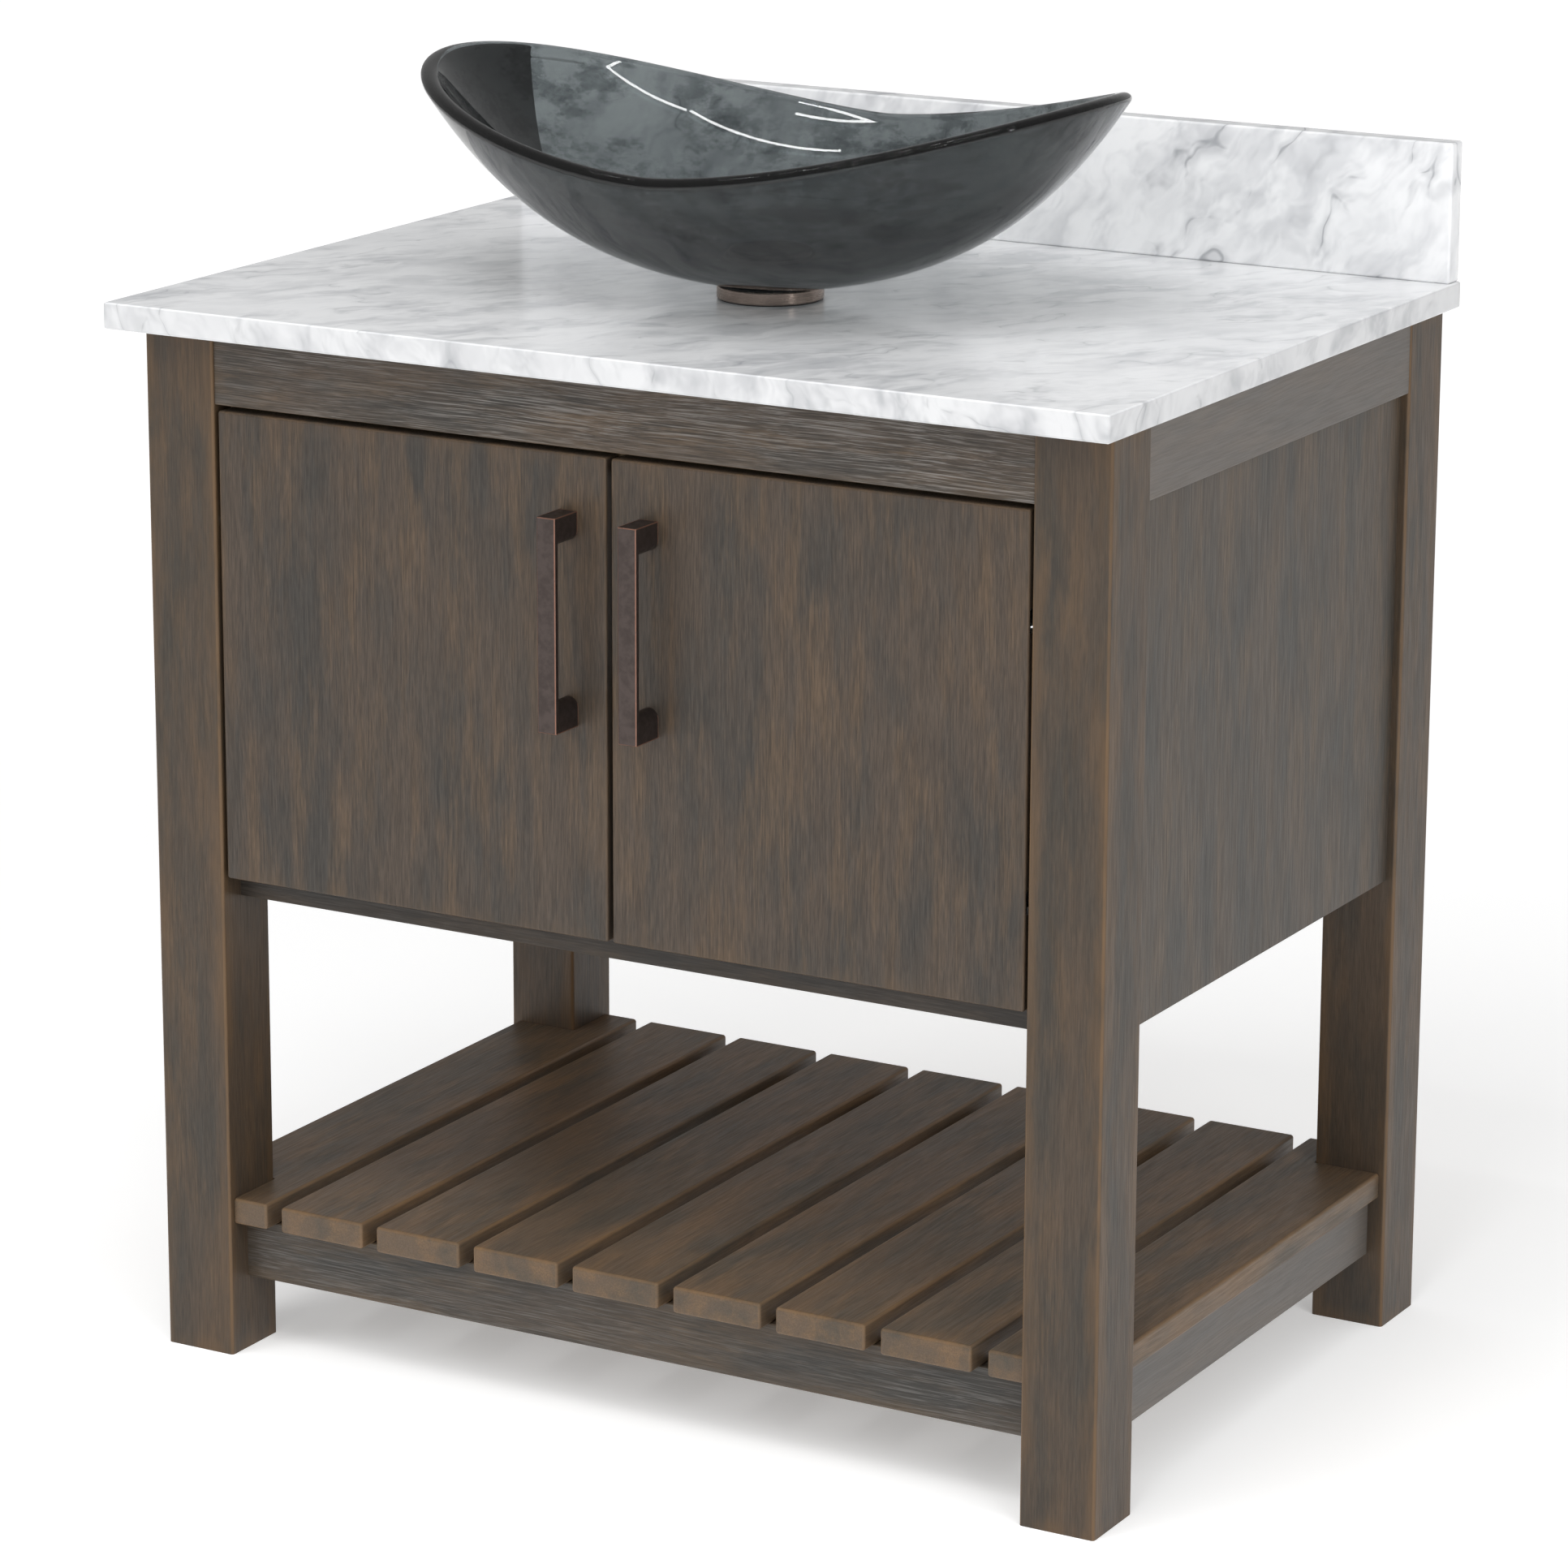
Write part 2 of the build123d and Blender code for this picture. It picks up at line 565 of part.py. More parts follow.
def handle_post(end, inward):
    """Post with a flat outer end and a half-round inner end."""
    half = HANDLE_WIDTH / 2
    front = HANDLE_BAR_BACK - PAST
    round_z = end + inward * HANDLE_POST_FLAT
    post = block(HANDLE_X - half, HANDLE_X + half, front, DOOR_FRONT_Y, end, round_z)
    return post + across(half, HANDLE_X, round_z, front, DOOR_FRONT_Y)


def make_handles():
    """Flat bar on two posts, held by screws through the door."""
    half = HANDLE_WIDTH / 2
    handle = block(HANDLE_X - half, HANDLE_X + half, HANDLE_FRONT_Y, HANDLE_BAR_BACK,
                   HANDLE_BOTTOM, HANDLE_TOP)
    handle += handle_post(HANDLE_BOTTOM, 1)
    handle += handle_post(HANDLE_TOP, -1)
    handle = chamfer(handle.faces().sort_by(Axis.Y)[0].edges(), HANDLE_EDGE)
    tip = DOOR_FRONT_Y - HANDLE_SCREW_BITE
    head_end = DOOR_BACK_Y + HANDLE_SCREW_HEAD_THICK
    screws = []
    for height in HANDLE_SCREW_HEIGHTS:
        handle -= across(HANDLE_SCREW_R + HANDLE_THREAD_GAP, HANDLE_X, height,
                         tip - PAST, DOOR_FRONT_Y + PAST)
        screw = across(HANDLE_SCREW_HEAD_R, HANDLE_X, height, DOOR_BACK_Y, head_end)
        screw += across(HANDLE_SCREW_R, HANDLE_X, height, tip, DOOR_BACK_Y + PAST)
        screws.append(screw)
    both_sides("handle", handle)
    both_sides("handle_screws", Compound(children=screws))


def make_bumpers():
    """Clear pads on the two stops, near the doors' meeting edges."""
    pads = []
    for x in (-BUMPER_X, BUMPER_X):
        for z in ((CASE_FLOOR + LOWER_RAIL_TOP) / 2, DOOR_TOP - BUMPER_BELOW_DOOR_TOP):
            pads.append(across(BUMPER_R, x, z, STOP_Y - BUMPER_THICK, STOP_Y))
    nodes["door_bumpers"] = Compound(children=pads)


# ---------------------------------------------------------------- lower shelf

def make_shelf_rails():
    front = LEG_FRONT_Y + SHELF_FRONT_RECESS
    back = BACK_Y - SHELF_FRONT_RECESS
    nodes["shelf_front_rail"] = eased_block(
        -LEG_INNER_X, LEG_INNER_X, front, front + RAIL_THICK,
        SHELF_RAIL_BOTTOM, SLAT_BOTTOM, RAIL_EASE, Axis.X)
    nodes["shelf_back_rail"] = eased_block(
        -LEG_INNER_X, LEG_INNER_X, back - RAIL_THICK, back,
        SHELF_RAIL_BOTTOM, SLAT_BOTTOM, RAIL_EASE, Axis.X)
    outer = LEG_X - SHELF_SIDE_RECESS
    rail = eased_block(outer - RAIL_THICK, outer, SIDE_FRONT_Y, SIDE_BACK_Y,
                       SHELF_RAIL_BOTTOM, SLAT_BOTTOM, RAIL_EASE, Axis.Y)
    both_sides("shelf_rail", rail)


def make_slats():
    """Nine slats; the outer two are wider and notched round the legs."""
    top = SLAT_BOTTOM + SLAT_THICK
    front = LEG_FRONT_Y + SLAT_FRONT_RECESS
    back = BACK_Y - SLAT_FRONT_RECESS
    pitch = SLAT_WIDTH + SLAT_GAP
    for number in range(INNER_SLATS):
        middle = (number - (INNER_SLATS - 1) / 2) * pitch
        slat = eased_block(middle - SLAT_WIDTH / 2, middle + SLAT_WIDTH / 2, front, back,
                           SLAT_BOTTOM, top, SLAT_EASE)
        nodes["slat_%d" % (number + 2)] = slat
    outer = LEG_X - SLAT_SIDE_RECESS
    slat = eased_block(outer - OUTER_SLAT_WIDTH, outer, front, back,
                       SLAT_BOTTOM, top, SLAT_EASE)
    notch_x = LEG_INNER_X - NOTCH_GAP
    low = SLAT_BOTTOM - PAST
    high = top + PAST
    slat -= block(notch_x, LEG_X, FRONT_Y, SIDE_FRONT_Y + NOTCH_GAP, low, high)
    slat -= block(notch_x, LEG_X, SIDE_BACK_Y - NOTCH_GAP, BACK_Y, low, high)
    nodes["slat_%d" % (INNER_SLATS + 2)] = slat
    nodes["slat_1"] = mirrored(slat)


def main():
    make_countertop()
    make_backsplash()
    make_bowl()
    make_mounting_ring()
    make_drain_body()
    make_drain_plug()
    make_drain_fixings()
    make_legs()
    make_top_rails()
    make_case()
    make_hinges()
    make_doors()
    make_handles()
    make_bumpers()
    make_shelf_rails()
    make_slats()
    os.makedirs("parts", exist_ok=True)
    for name, shape in nodes.items():
        export_step(shape, "parts/%s.step" % name)
    print(len(nodes), "nodes written")


main()
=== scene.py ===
import math

import bmesh
import bpy
from bpy.props import FloatProperty, FloatVectorProperty, IntProperty, PointerProperty
from mathutils import Matrix, Vector


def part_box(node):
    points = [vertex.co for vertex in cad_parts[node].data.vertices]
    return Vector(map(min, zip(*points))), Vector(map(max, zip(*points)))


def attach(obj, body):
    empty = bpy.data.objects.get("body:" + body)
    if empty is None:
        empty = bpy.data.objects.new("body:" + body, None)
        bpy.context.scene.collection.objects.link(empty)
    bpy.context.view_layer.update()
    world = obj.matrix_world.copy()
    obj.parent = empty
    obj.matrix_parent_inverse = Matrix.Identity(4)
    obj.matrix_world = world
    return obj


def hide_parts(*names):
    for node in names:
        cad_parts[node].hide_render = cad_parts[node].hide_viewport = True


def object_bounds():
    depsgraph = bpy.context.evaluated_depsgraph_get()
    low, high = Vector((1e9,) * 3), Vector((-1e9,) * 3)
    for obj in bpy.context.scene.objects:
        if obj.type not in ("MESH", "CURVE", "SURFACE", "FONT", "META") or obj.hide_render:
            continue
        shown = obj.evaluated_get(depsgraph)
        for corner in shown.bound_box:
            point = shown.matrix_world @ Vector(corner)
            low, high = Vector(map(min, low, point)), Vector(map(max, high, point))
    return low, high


bl_info = {
    "name": "Vessel Sink Vanity",
    "version": (1, 0, 0),
    "blender": (4, 5, 0),
    "location": "View3D > Sidebar > Vanity",
    "description": "Finishes a glass vessel sink on a marble-topped wooden vanity",
    "category": "Object",
}

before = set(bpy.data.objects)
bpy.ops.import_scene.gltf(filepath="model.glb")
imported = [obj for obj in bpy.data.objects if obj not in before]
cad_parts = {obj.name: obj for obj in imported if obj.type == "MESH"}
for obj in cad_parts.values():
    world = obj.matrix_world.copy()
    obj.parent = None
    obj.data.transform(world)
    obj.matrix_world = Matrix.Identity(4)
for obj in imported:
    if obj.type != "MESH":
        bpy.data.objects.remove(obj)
cad_low, cad_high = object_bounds()
bowl_low, bowl_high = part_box("glass_bowl")
ring_low, ring_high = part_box("mounting_ring")

LEGS = ("front_left_leg", "front_right_leg", "back_left_leg", "back_right_leg")
SIDE_PANELS = ("left_side_panel", "right_side_panel")
CROSS_RAILS = ("front_top_rail", "back_top_rail")
BOTTOM_RAILS = ("bottom_front_rail", "bottom_back_rail")
SHELF_RAILS = ("shelf_front_rail", "shelf_back_rail")
SIDE_RAILS = ("left_top_rail", "right_top_rail", "left_shelf_rail", "right_shelf_rail")
DOORS = ("left_door", "right_door")
SLATS = tuple("slat_%d" % number for number in range(1, 10))
INNER_BOARDS = (
    "bottom_panel", "back_panel", "left_bottom_cleat", "right_bottom_cleat",
    "left_counter_cleat", "right_counter_cleat", "upper_door_stop",
)
HANDLES = ("left_handle", "right_handle")
DRAIN_PARTS = ("drain_body", "drain_plug", "drain_lock_nut", "tailpiece")
SEALS = ("mounting_ring_seals", "drain_flange_seal", "counter_seal")
# Hinge pins and arms get a near-black steel as painted shade in the door gap.
SHADE_PAINTED_STEEL = ("left_hinge_pins", "right_hinge_pins", "left_hinge_arms", "right_hinge_arms")
STEEL_PARTS = (
    "left_hinge_cups", "right_hinge_cups", "left_hinge_cup_screws", "right_hinge_cup_screws",
    "hinge_plate_screws", "left_handle_screws", "right_handle_screws",
)

WHITE = (1.0, 1.0, 1.0)

# How far apart, in metres, pieces are cut from their shared pattern.
PATTERN_REACH = 7.0
PATTERN_STEPS = (0.37, 0.53, 0.71)

# Woods of the frame: pieces, material, direction and share of the grain, and the rest.
FRAME_WOODS = (
    (LEGS, "Stained wood legs", "upright", 0.65, dict(wear=0.8, tone=(1.0, 0.92, 0.82))),
    # The side panels' light grey wash is painted sheen.
    (SIDE_PANELS, "Stained wood panels", "upright", 0.9,
     dict(painted_sheen=0.08, tone=(0.92, 0.91, 0.88))),
    (CROSS_RAILS, "Brushed wood rails", "across", 1.0, dict(brushing=0.75, wear=0.3)),
    (SHELF_RAILS, "Shelf wood rails", "across", 0.8,
     dict(brushing=0.35, wear=0.3, tone=(0.93, 0.96, 0.98))),
    # The bottom rails' tone of 0.55 is painted shade under the doors' overhang.
    (BOTTOM_RAILS, "Dark wood rails", "across", 0.8,
     dict(brushing=0.2, wear=0.2, tone=(0.55, 0.55, 0.55))),
    # The side rails' strong grey wash and tone of 1.1 are painted sheen and painted light on the
    # side faces.
    (SIDE_RAILS, "Smooth wood rails", "deep", 0.6,
     dict(wear=0.2, painted_sheen=0.55, tone=(1.1, 1.1, 1.1))),
)

# The dish rises with a mix of two powers of the distance from its middle.
DISH_TERMS = ((0.65, 2), (0.35, 4.5))
RIM_POWER = 1.55        # how late the rim rises towards the tips
SEARCH_STEPS = 40       # halvings when a height is looked up on the dish
END_STEP = 0.01         # last share of a walk, where its length is measured
CORNER_STEPS = 12       # faces over each half of the rounded rim
SHARP_ANGLE = math.radians(38)

FLOOR_REACH = 14.0      # from the middle to a side
TUBE_HEIGHT = 3.0
TUBE_WIDTH = 0.035
CARD_MIDDLE = (-0.6, cad_high.y + 0.75, 1.0)
CARD_STRETCH = (3.0, 1.0, 1.0, 1.0)
BRIGHTEST_SIDE = (0.25, -0.85, 0.45)    # where most of the even light comes from

# Soft lights: name, place, what they face, size and the setting that holds their power.
SOFT_LIGHTS = (
    ("key_light", (-2.1, -3.4, 2.6), (0.0, 0.0, 0.5), 2.0, "key"),
    ("fill_light", (3.3, -1.9, 1.9), (0.2, 0.0, 0.5), 1.8, "fill"),
    ("overhead_light", (0.2, -1.7, 3.2), (0.0, 0.0, 0.6), 1.3, "overhead"),
)
# Strips: the same, with a width and a height.
STRIP_LIGHTS = (
    ("strip_light", (2.88, -0.85, 1.54), (0.0, 0.0, 0.79), 0.07, 0.55, "strip"),
    ("rim_line_light", (1.3, -2.3, 2.7), (0.0, -0.15, 0.9), 2.6, 0.05, "rim_line"),
)
# Tubes: name and the two ends.
CEILING_TUBES = (
    ("tube_right", (0.445, -0.44), (1.26, -0.11)),
    ("tube_left", (-0.89, -0.44), (0.42, -0.46)),
    ("tube_front", (-1.27, -0.87), (-0.39, -0.93)),
)


# ---------------------------------------------------------------- sizes and colours

class BowlSettings(bpy.types.PropertyGroup):
    """Sizes and tint of the glass bowl."""

    base: FloatProperty(
        name="Base", description="Height of the outer curve's lowest point",
        default=0.790, unit="LENGTH")
    floor: FloatProperty(
        name="Floor", description="Height of the inner curve's lowest point",
        default=0.802, unit="LENGTH")
    tip: FloatProperty(
        name="Tips", description="Height of the rim at its two ends", default=0.946, unit="LENGTH")
    rim_low: FloatProperty(
        name="Rim middle", description="Height of the rim halfway along each side",
        default=0.890, unit="LENGTH")
    foot: FloatProperty(
        name="Foot", description="Height of the flat that sits on the ring",
        default=0.7918, unit="LENGTH")
    half_length: FloatProperty(
        name="Half length", description="Outside, from the middle to an end",
        default=0.271, unit="LENGTH")
    rim_wall: FloatProperty(
        name="Rim wall", description="Thickness of the glass at the two ends",
        default=0.014, unit="LENGTH")
    outer_width: FloatProperty(
        name="Outer width", description="Width over length of the outer curve", default=0.79)
    inner_width: FloatProperty(
        name="Inner width", description="Width over length of the inner curve", default=0.783)
    drain_radius: FloatProperty(
        name="Drain hole", description="Radius of the drain hole", default=0.0225, unit="LENGTH")
    polish: FloatProperty(
        name="Edge polish", description="How far the rim's two edges are rounded",
        default=0.0058, unit="LENGTH")
    rim_drop: FloatProperty(
        name="Rim drop", description="How far the rim's outer edge lies below the rim",
        default=0.0043, unit="LENGTH")
    rim_lift: FloatProperty(
        name="Rim lift", description="How far the rim's inner edge would stand above the rim",
        default=0.0022, unit="LENGTH")
    spokes: IntProperty(
        name="Spokes", description="Faces round the bowl", default=288, min=48)
    rings: IntProperty(
        name="Rings", description="Faces from the foot to the rim", default=52, min=12)
    tint: FloatVectorProperty(
        name="Tint", description="What the glass lets through", subtype="COLOR", size=3,
        default=(0.46, 0.50, 0.505))
    density: FloatProperty(
        name="Smoke", description="How strongly the glass darkens with its thickness",
        default=238.0)


class MarbleSettings(bpy.types.PropertyGroup):
    """Colours of the countertop and the backsplash."""

    ground: FloatVectorProperty(
        name="Ground", description="The white between the veins", subtype="COLOR", size=3,
        default=(0.86, 0.865, 0.875))
    cloud: FloatVectorProperty(
        name="Clouds", description="Soft grey patches", subtype="COLOR", size=3,
        default=(0.46, 0.47, 0.495))
    vein: FloatVectorProperty(
        name="Veins", description="Thin grey veins", subtype="COLOR", size=3,
        default=(0.27, 0.28, 0.305))
    polish: FloatProperty(
        name="Polish", description="Roughness of the polished stone", default=0.17,
        min=0.0, max=1.0)


class WoodSettings(bpy.types.PropertyGroup):
    """Colours of the stained wood."""

    slate: FloatVectorProperty(
        name="Slate", description="Blue-grey where the stain lies thick", subtype="COLOR", size=3,
        default=(0.039, 0.035, 0.030))
    brown: FloatVectorProperty(
        name="Brown", description="The wood's usual grey-brown", subtype="COLOR", size=3,
        default=(0.061, 0.046, 0.034))
    amber: FloatVectorProperty(
        name="Amber", description="Warm wood where the stain is thin", subtype="COLOR", size=3,
        default=(0.106, 0.067, 0.035))
    ash: FloatVectorProperty(
        name="Ash", description="Light fibres raised by brushing", subtype="COLOR", size=3,
        default=(0.22, 0.205, 0.19))
    inside: FloatVectorProperty(
        name="Inside", description="Unstained boards in the cabinet", subtype="COLOR", size=3,
        default=(0.55, 0.40, 0.25))


class MetalSettings(bpy.types.PropertyGroup):
    """Colours of the handles, the ring and the hinges."""

    bronze: FloatVectorProperty(
        name="Bronze", description="Dark oil-rubbed bronze", subtype="COLOR", size=3,
        default=(0.088, 0.069, 0.063))
    copper: FloatVectorProperty(
        name="Copper", description="Bare metal along worn edges", subtype="COLOR", size=3,
        default=(0.42, 0.215, 0.15))
    ring: FloatVectorProperty(
        name="Ring", description="Brushed bronze of the mounting ring", subtype="COLOR", size=3,
        default=(0.50, 0.40, 0.345))
    nickel: FloatVectorProperty(
        name="Nickel", description="Plated steel of the hinges", subtype="COLOR", size=3,
        default=(0.60, 0.60, 0.58))


class StageSettings(bpy.types.PropertyGroup):
    """Floor, light and camera."""

    camera_place: FloatVectorProperty(
        name="Camera", description="Where the camera stands", subtype="TRANSLATION", size=3,
        default=(1.99391, -3.52193, 1.50953))
    azimuth: FloatProperty(
        name="Azimuth", description="Camera's turn from straight ahead", unit="ROTATION",
        default=math.radians(29.563))
    elevation: FloatProperty(
        name="Elevation", description="How far the camera looks down", unit="ROTATION",
        default=math.radians(14.305))
    roll: FloatProperty(
        name="Roll", description="Camera's tilt about its own axis", unit="ROTATION",
        default=math.radians(0.2))
    lens: FloatProperty(
        name="Lens", description="Focal length in millimetres", default=132.74)
    shift: FloatProperty(
        name="Shift", description="How far the lens is shifted down", default=-0.0497)
    ambient: FloatProperty(
        name="Ambient", description="Strength of the even light from in front", default=0.64)
    behind: FloatProperty(
        name="Ambient behind", description="Strength of the even light from behind",
        default=0.20)
    mirrored: FloatProperty(
        name="Mirrored", description="Strength of the even light seen in reflections",
        default=0.38)
    key: FloatProperty(
        name="Key", description="Power of the large soft light, in watts", default=42.0)
    fill: FloatProperty(
        name="Fill", description="Power of the soft light on the right, in watts", default=41.5)
    overhead: FloatProperty(
        name="Overhead", description="Power of the soft light above, in watts", default=28.0)
    tube: FloatProperty(
        name="Tubes", description="Power per metre of the ceiling tubes, in watts", default=2.0)
    rim_line: FloatProperty(
        name="Rim line", description="Power of the long light that edges the rim, in watts",
        default=6.0)
    strip: FloatProperty(
        name="Strip", description="Power of the narrow light on the right, in watts", default=2.6)
    floor: FloatVectorProperty(
        name="Floor", description="Colour of the floor", subtype="COLOR", size=3,
        default=(0.93, 0.93, 0.93))


# ---------------------------------------------------------------- helpers

def new_object(name, data):
    """Object with the given data, linked to the scene."""
    made = bpy.data.objects.new(name, data)
    bpy.context.scene.collection.objects.link(made)
    return made


def add_node(tree, kind, inputs=None, **settings):
    """New node; inputs are plain values or the output sockets they come from."""
    made = tree.nodes.new(kind)
    for name, value in settings.items():
        setattr(made, name, value)
    for name, value in (inputs or {}).items():
        socket = made.inputs[name]
        if isinstance(value, bpy.types.NodeSocket):
            tree.links.new(value, socket)
        else:
            socket.default_value = value
    return made


def maths(tree, operation, *values):
    """Result of one Math node."""
    return add_node(tree, "ShaderNodeMath", dict(enumerate(values)),
                    operation=operation).outputs[0]


def object_place(tree):
    """Coordinates in metres on the piece itself."""
    return add_node(tree, "ShaderNodeTexCoord").outputs["Object"]


def stretched(tree, vector, scale, shift=(0.0, 0.0, 0.0)):
    """Coordinates squeezed along each axis."""
    made = add_node(tree, "ShaderNodeMapping", {"Vector": vector, "Scale": scale,
                                                "Location": shift})
    return made.outputs[0]


def noise(tree, vector, scale=1.0, detail=2.0, roughness=0.5, distortion=0.0):
    """Soft noise, as a Noise node."""
    return add_node(tree, "ShaderNodeTexNoise",
                    {"Vector": vector, "Scale": scale, "Detail": detail,
                     "Roughness": roughness, "Distortion": distortion})


def eased(tree, value, low, high, out_low=0.0, out_high=1.0):
    """Value mapped smoothly from one range to another."""
    made = add_node(tree, "ShaderNodeMapRange",
                    {"Value": value, "From Min": low, "From Max": high,
                     "To Min": out_low, "To Max": out_high}, interpolation_type="SMOOTHSTEP")
    return made.outputs[0]


def mixed(tree, share, first, second, blend="MIX"):
    """Two colours mixed."""
    made = add_node(tree, "ShaderNodeMix", data_type="RGBA", blend_type=blend)
    for index, value in ((0, share), (6, first), (7, second)):
        if isinstance(value, bpy.types.NodeSocket):
            tree.links.new(value, made.inputs[index])
        else:
            made.inputs[index].default_value = value
    return made.outputs[2]


def solid(colour):
    """Colour with full alpha."""
    return (*colour, 1.0)


def scaled(colour, share):
    """Colour with full alpha, each part multiplied by a share."""
    return solid([part * share for part in colour])


def constants(node, **values):
    """Sets sockets that nothing is joined to; a name's underscores stand for spaces."""
    for name, value in values.items():
        node.inputs[name.replace("_", " ")].default_value = value


def grey(tree, value):
    """A number as a colour."""
    return add_node(tree, "ShaderNodeCombineColor",
                    {"Red": value, "Green": value, "Blue": value}).outputs[0]


def dimmed(tree, colour, value):
    """Colour multiplied by a number."""
    return mixed(tree, 1.0, colour, grey(tree, value), "MULTIPLY")


def edge_wear(tree, low, high):
    """1 on the rounded and bevelled edges of a square-cut piece, 0 on its flats."""
    normal = add_node(tree, "ShaderNodeTexCoord").outputs["Normal"]
    split = add_node(tree, "ShaderNodeSeparateXYZ", {"Vector": normal})
    sizes = [maths(tree, "ABSOLUTE", split.outputs[axis]) for axis in range(3)]
    largest = maths(tree, "MAXIMUM", maths(tree, "MAXIMUM", sizes[0], sizes[1]), sizes[2])
    return eased(tree, largest, high, low)


def own_value(tree, name):
    """One of a piece's own stored vectors."""
    return add_node(tree, "ShaderNodeAttribute", attribute_type="OBJECT",
                    attribute_name=name).outputs["Vector"]


def vector_maths(tree, operation, first, second):
    """Result of one Vector Math node."""
    return add_node(tree, "ShaderNodeVectorMath", {0: first, 1: second},
                    operation=operation).outputs[0]


def edge_distance(tree):
    """Metres from a square-cut piece's nearest edge."""
    place = object_place(tree)
    offset = vector_maths(tree, "SUBTRACT", place, own_value(tree, "piece_middle"))
    offset = add_node(tree, "ShaderNodeVectorMath", {0: offset}, operation="ABSOLUTE")
    inset = vector_maths(tree, "SUBTRACT", own_value(tree, "piece_half"), offset.outputs[0])
    split = add_node(tree, "ShaderNodeSeparateXYZ", {"Vector": inset})
    low = maths(tree, "MINIMUM", split.outputs[0], split.outputs[1])
    high = maths(tree, "MAXIMUM", split.outputs[0], split.outputs[1])
    return maths(tree, "MAXIMUM", low, maths(tree, "MINIMUM", high, split.outputs[2]))


def new_material(name):
    """Empty material with its Principled shader joined to the output."""
    material = bpy.data.materials.new(name)
    material.use_nodes = True
    tree = material.node_tree
    tree.nodes.clear()
    shader = add_node(tree, "ShaderNodeBsdfPrincipled")
    output = add_node(tree, "ShaderNodeOutputMaterial", {"Surface": shader.outputs[0]})
    return material, tree, shader, output


def bumped(tree, shader, height, strength, distance):
    """Joins a bump map to the shader."""
    bump = add_node(tree, "ShaderNodeBump",
                    {"Height": height, "Strength": strength, "Distance": distance})
    tree.links.new(bump.outputs[0], shader.inputs["Normal"])


def finish_nodes(names, material):
    """Gives CAD pieces a material and their own place in its pattern."""
    for name in names:
        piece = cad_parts[name]
        for slot in piece.material_slots:
            slot.material = material
        low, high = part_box(name)
        piece["piece_middle"] = list((low + high) / 2)
        piece["piece_half"] = list((high - low) / 2)
        place = sum(ord(letter) * (index + 3) for index, letter in enumerate(name))
        piece["board_shift"] = [(place * step) % PATTERN_REACH for step in PATTERN_STEPS]


# ---------------------------------------------------------------- stained wood

GRAIN_TURNS = {
    "upright": (0.0, 0.0, 0.0),
    "across": (0.0, math.radians(90), 0.0),
    "deep": (math.radians(90), 0.0, 0.0),
}


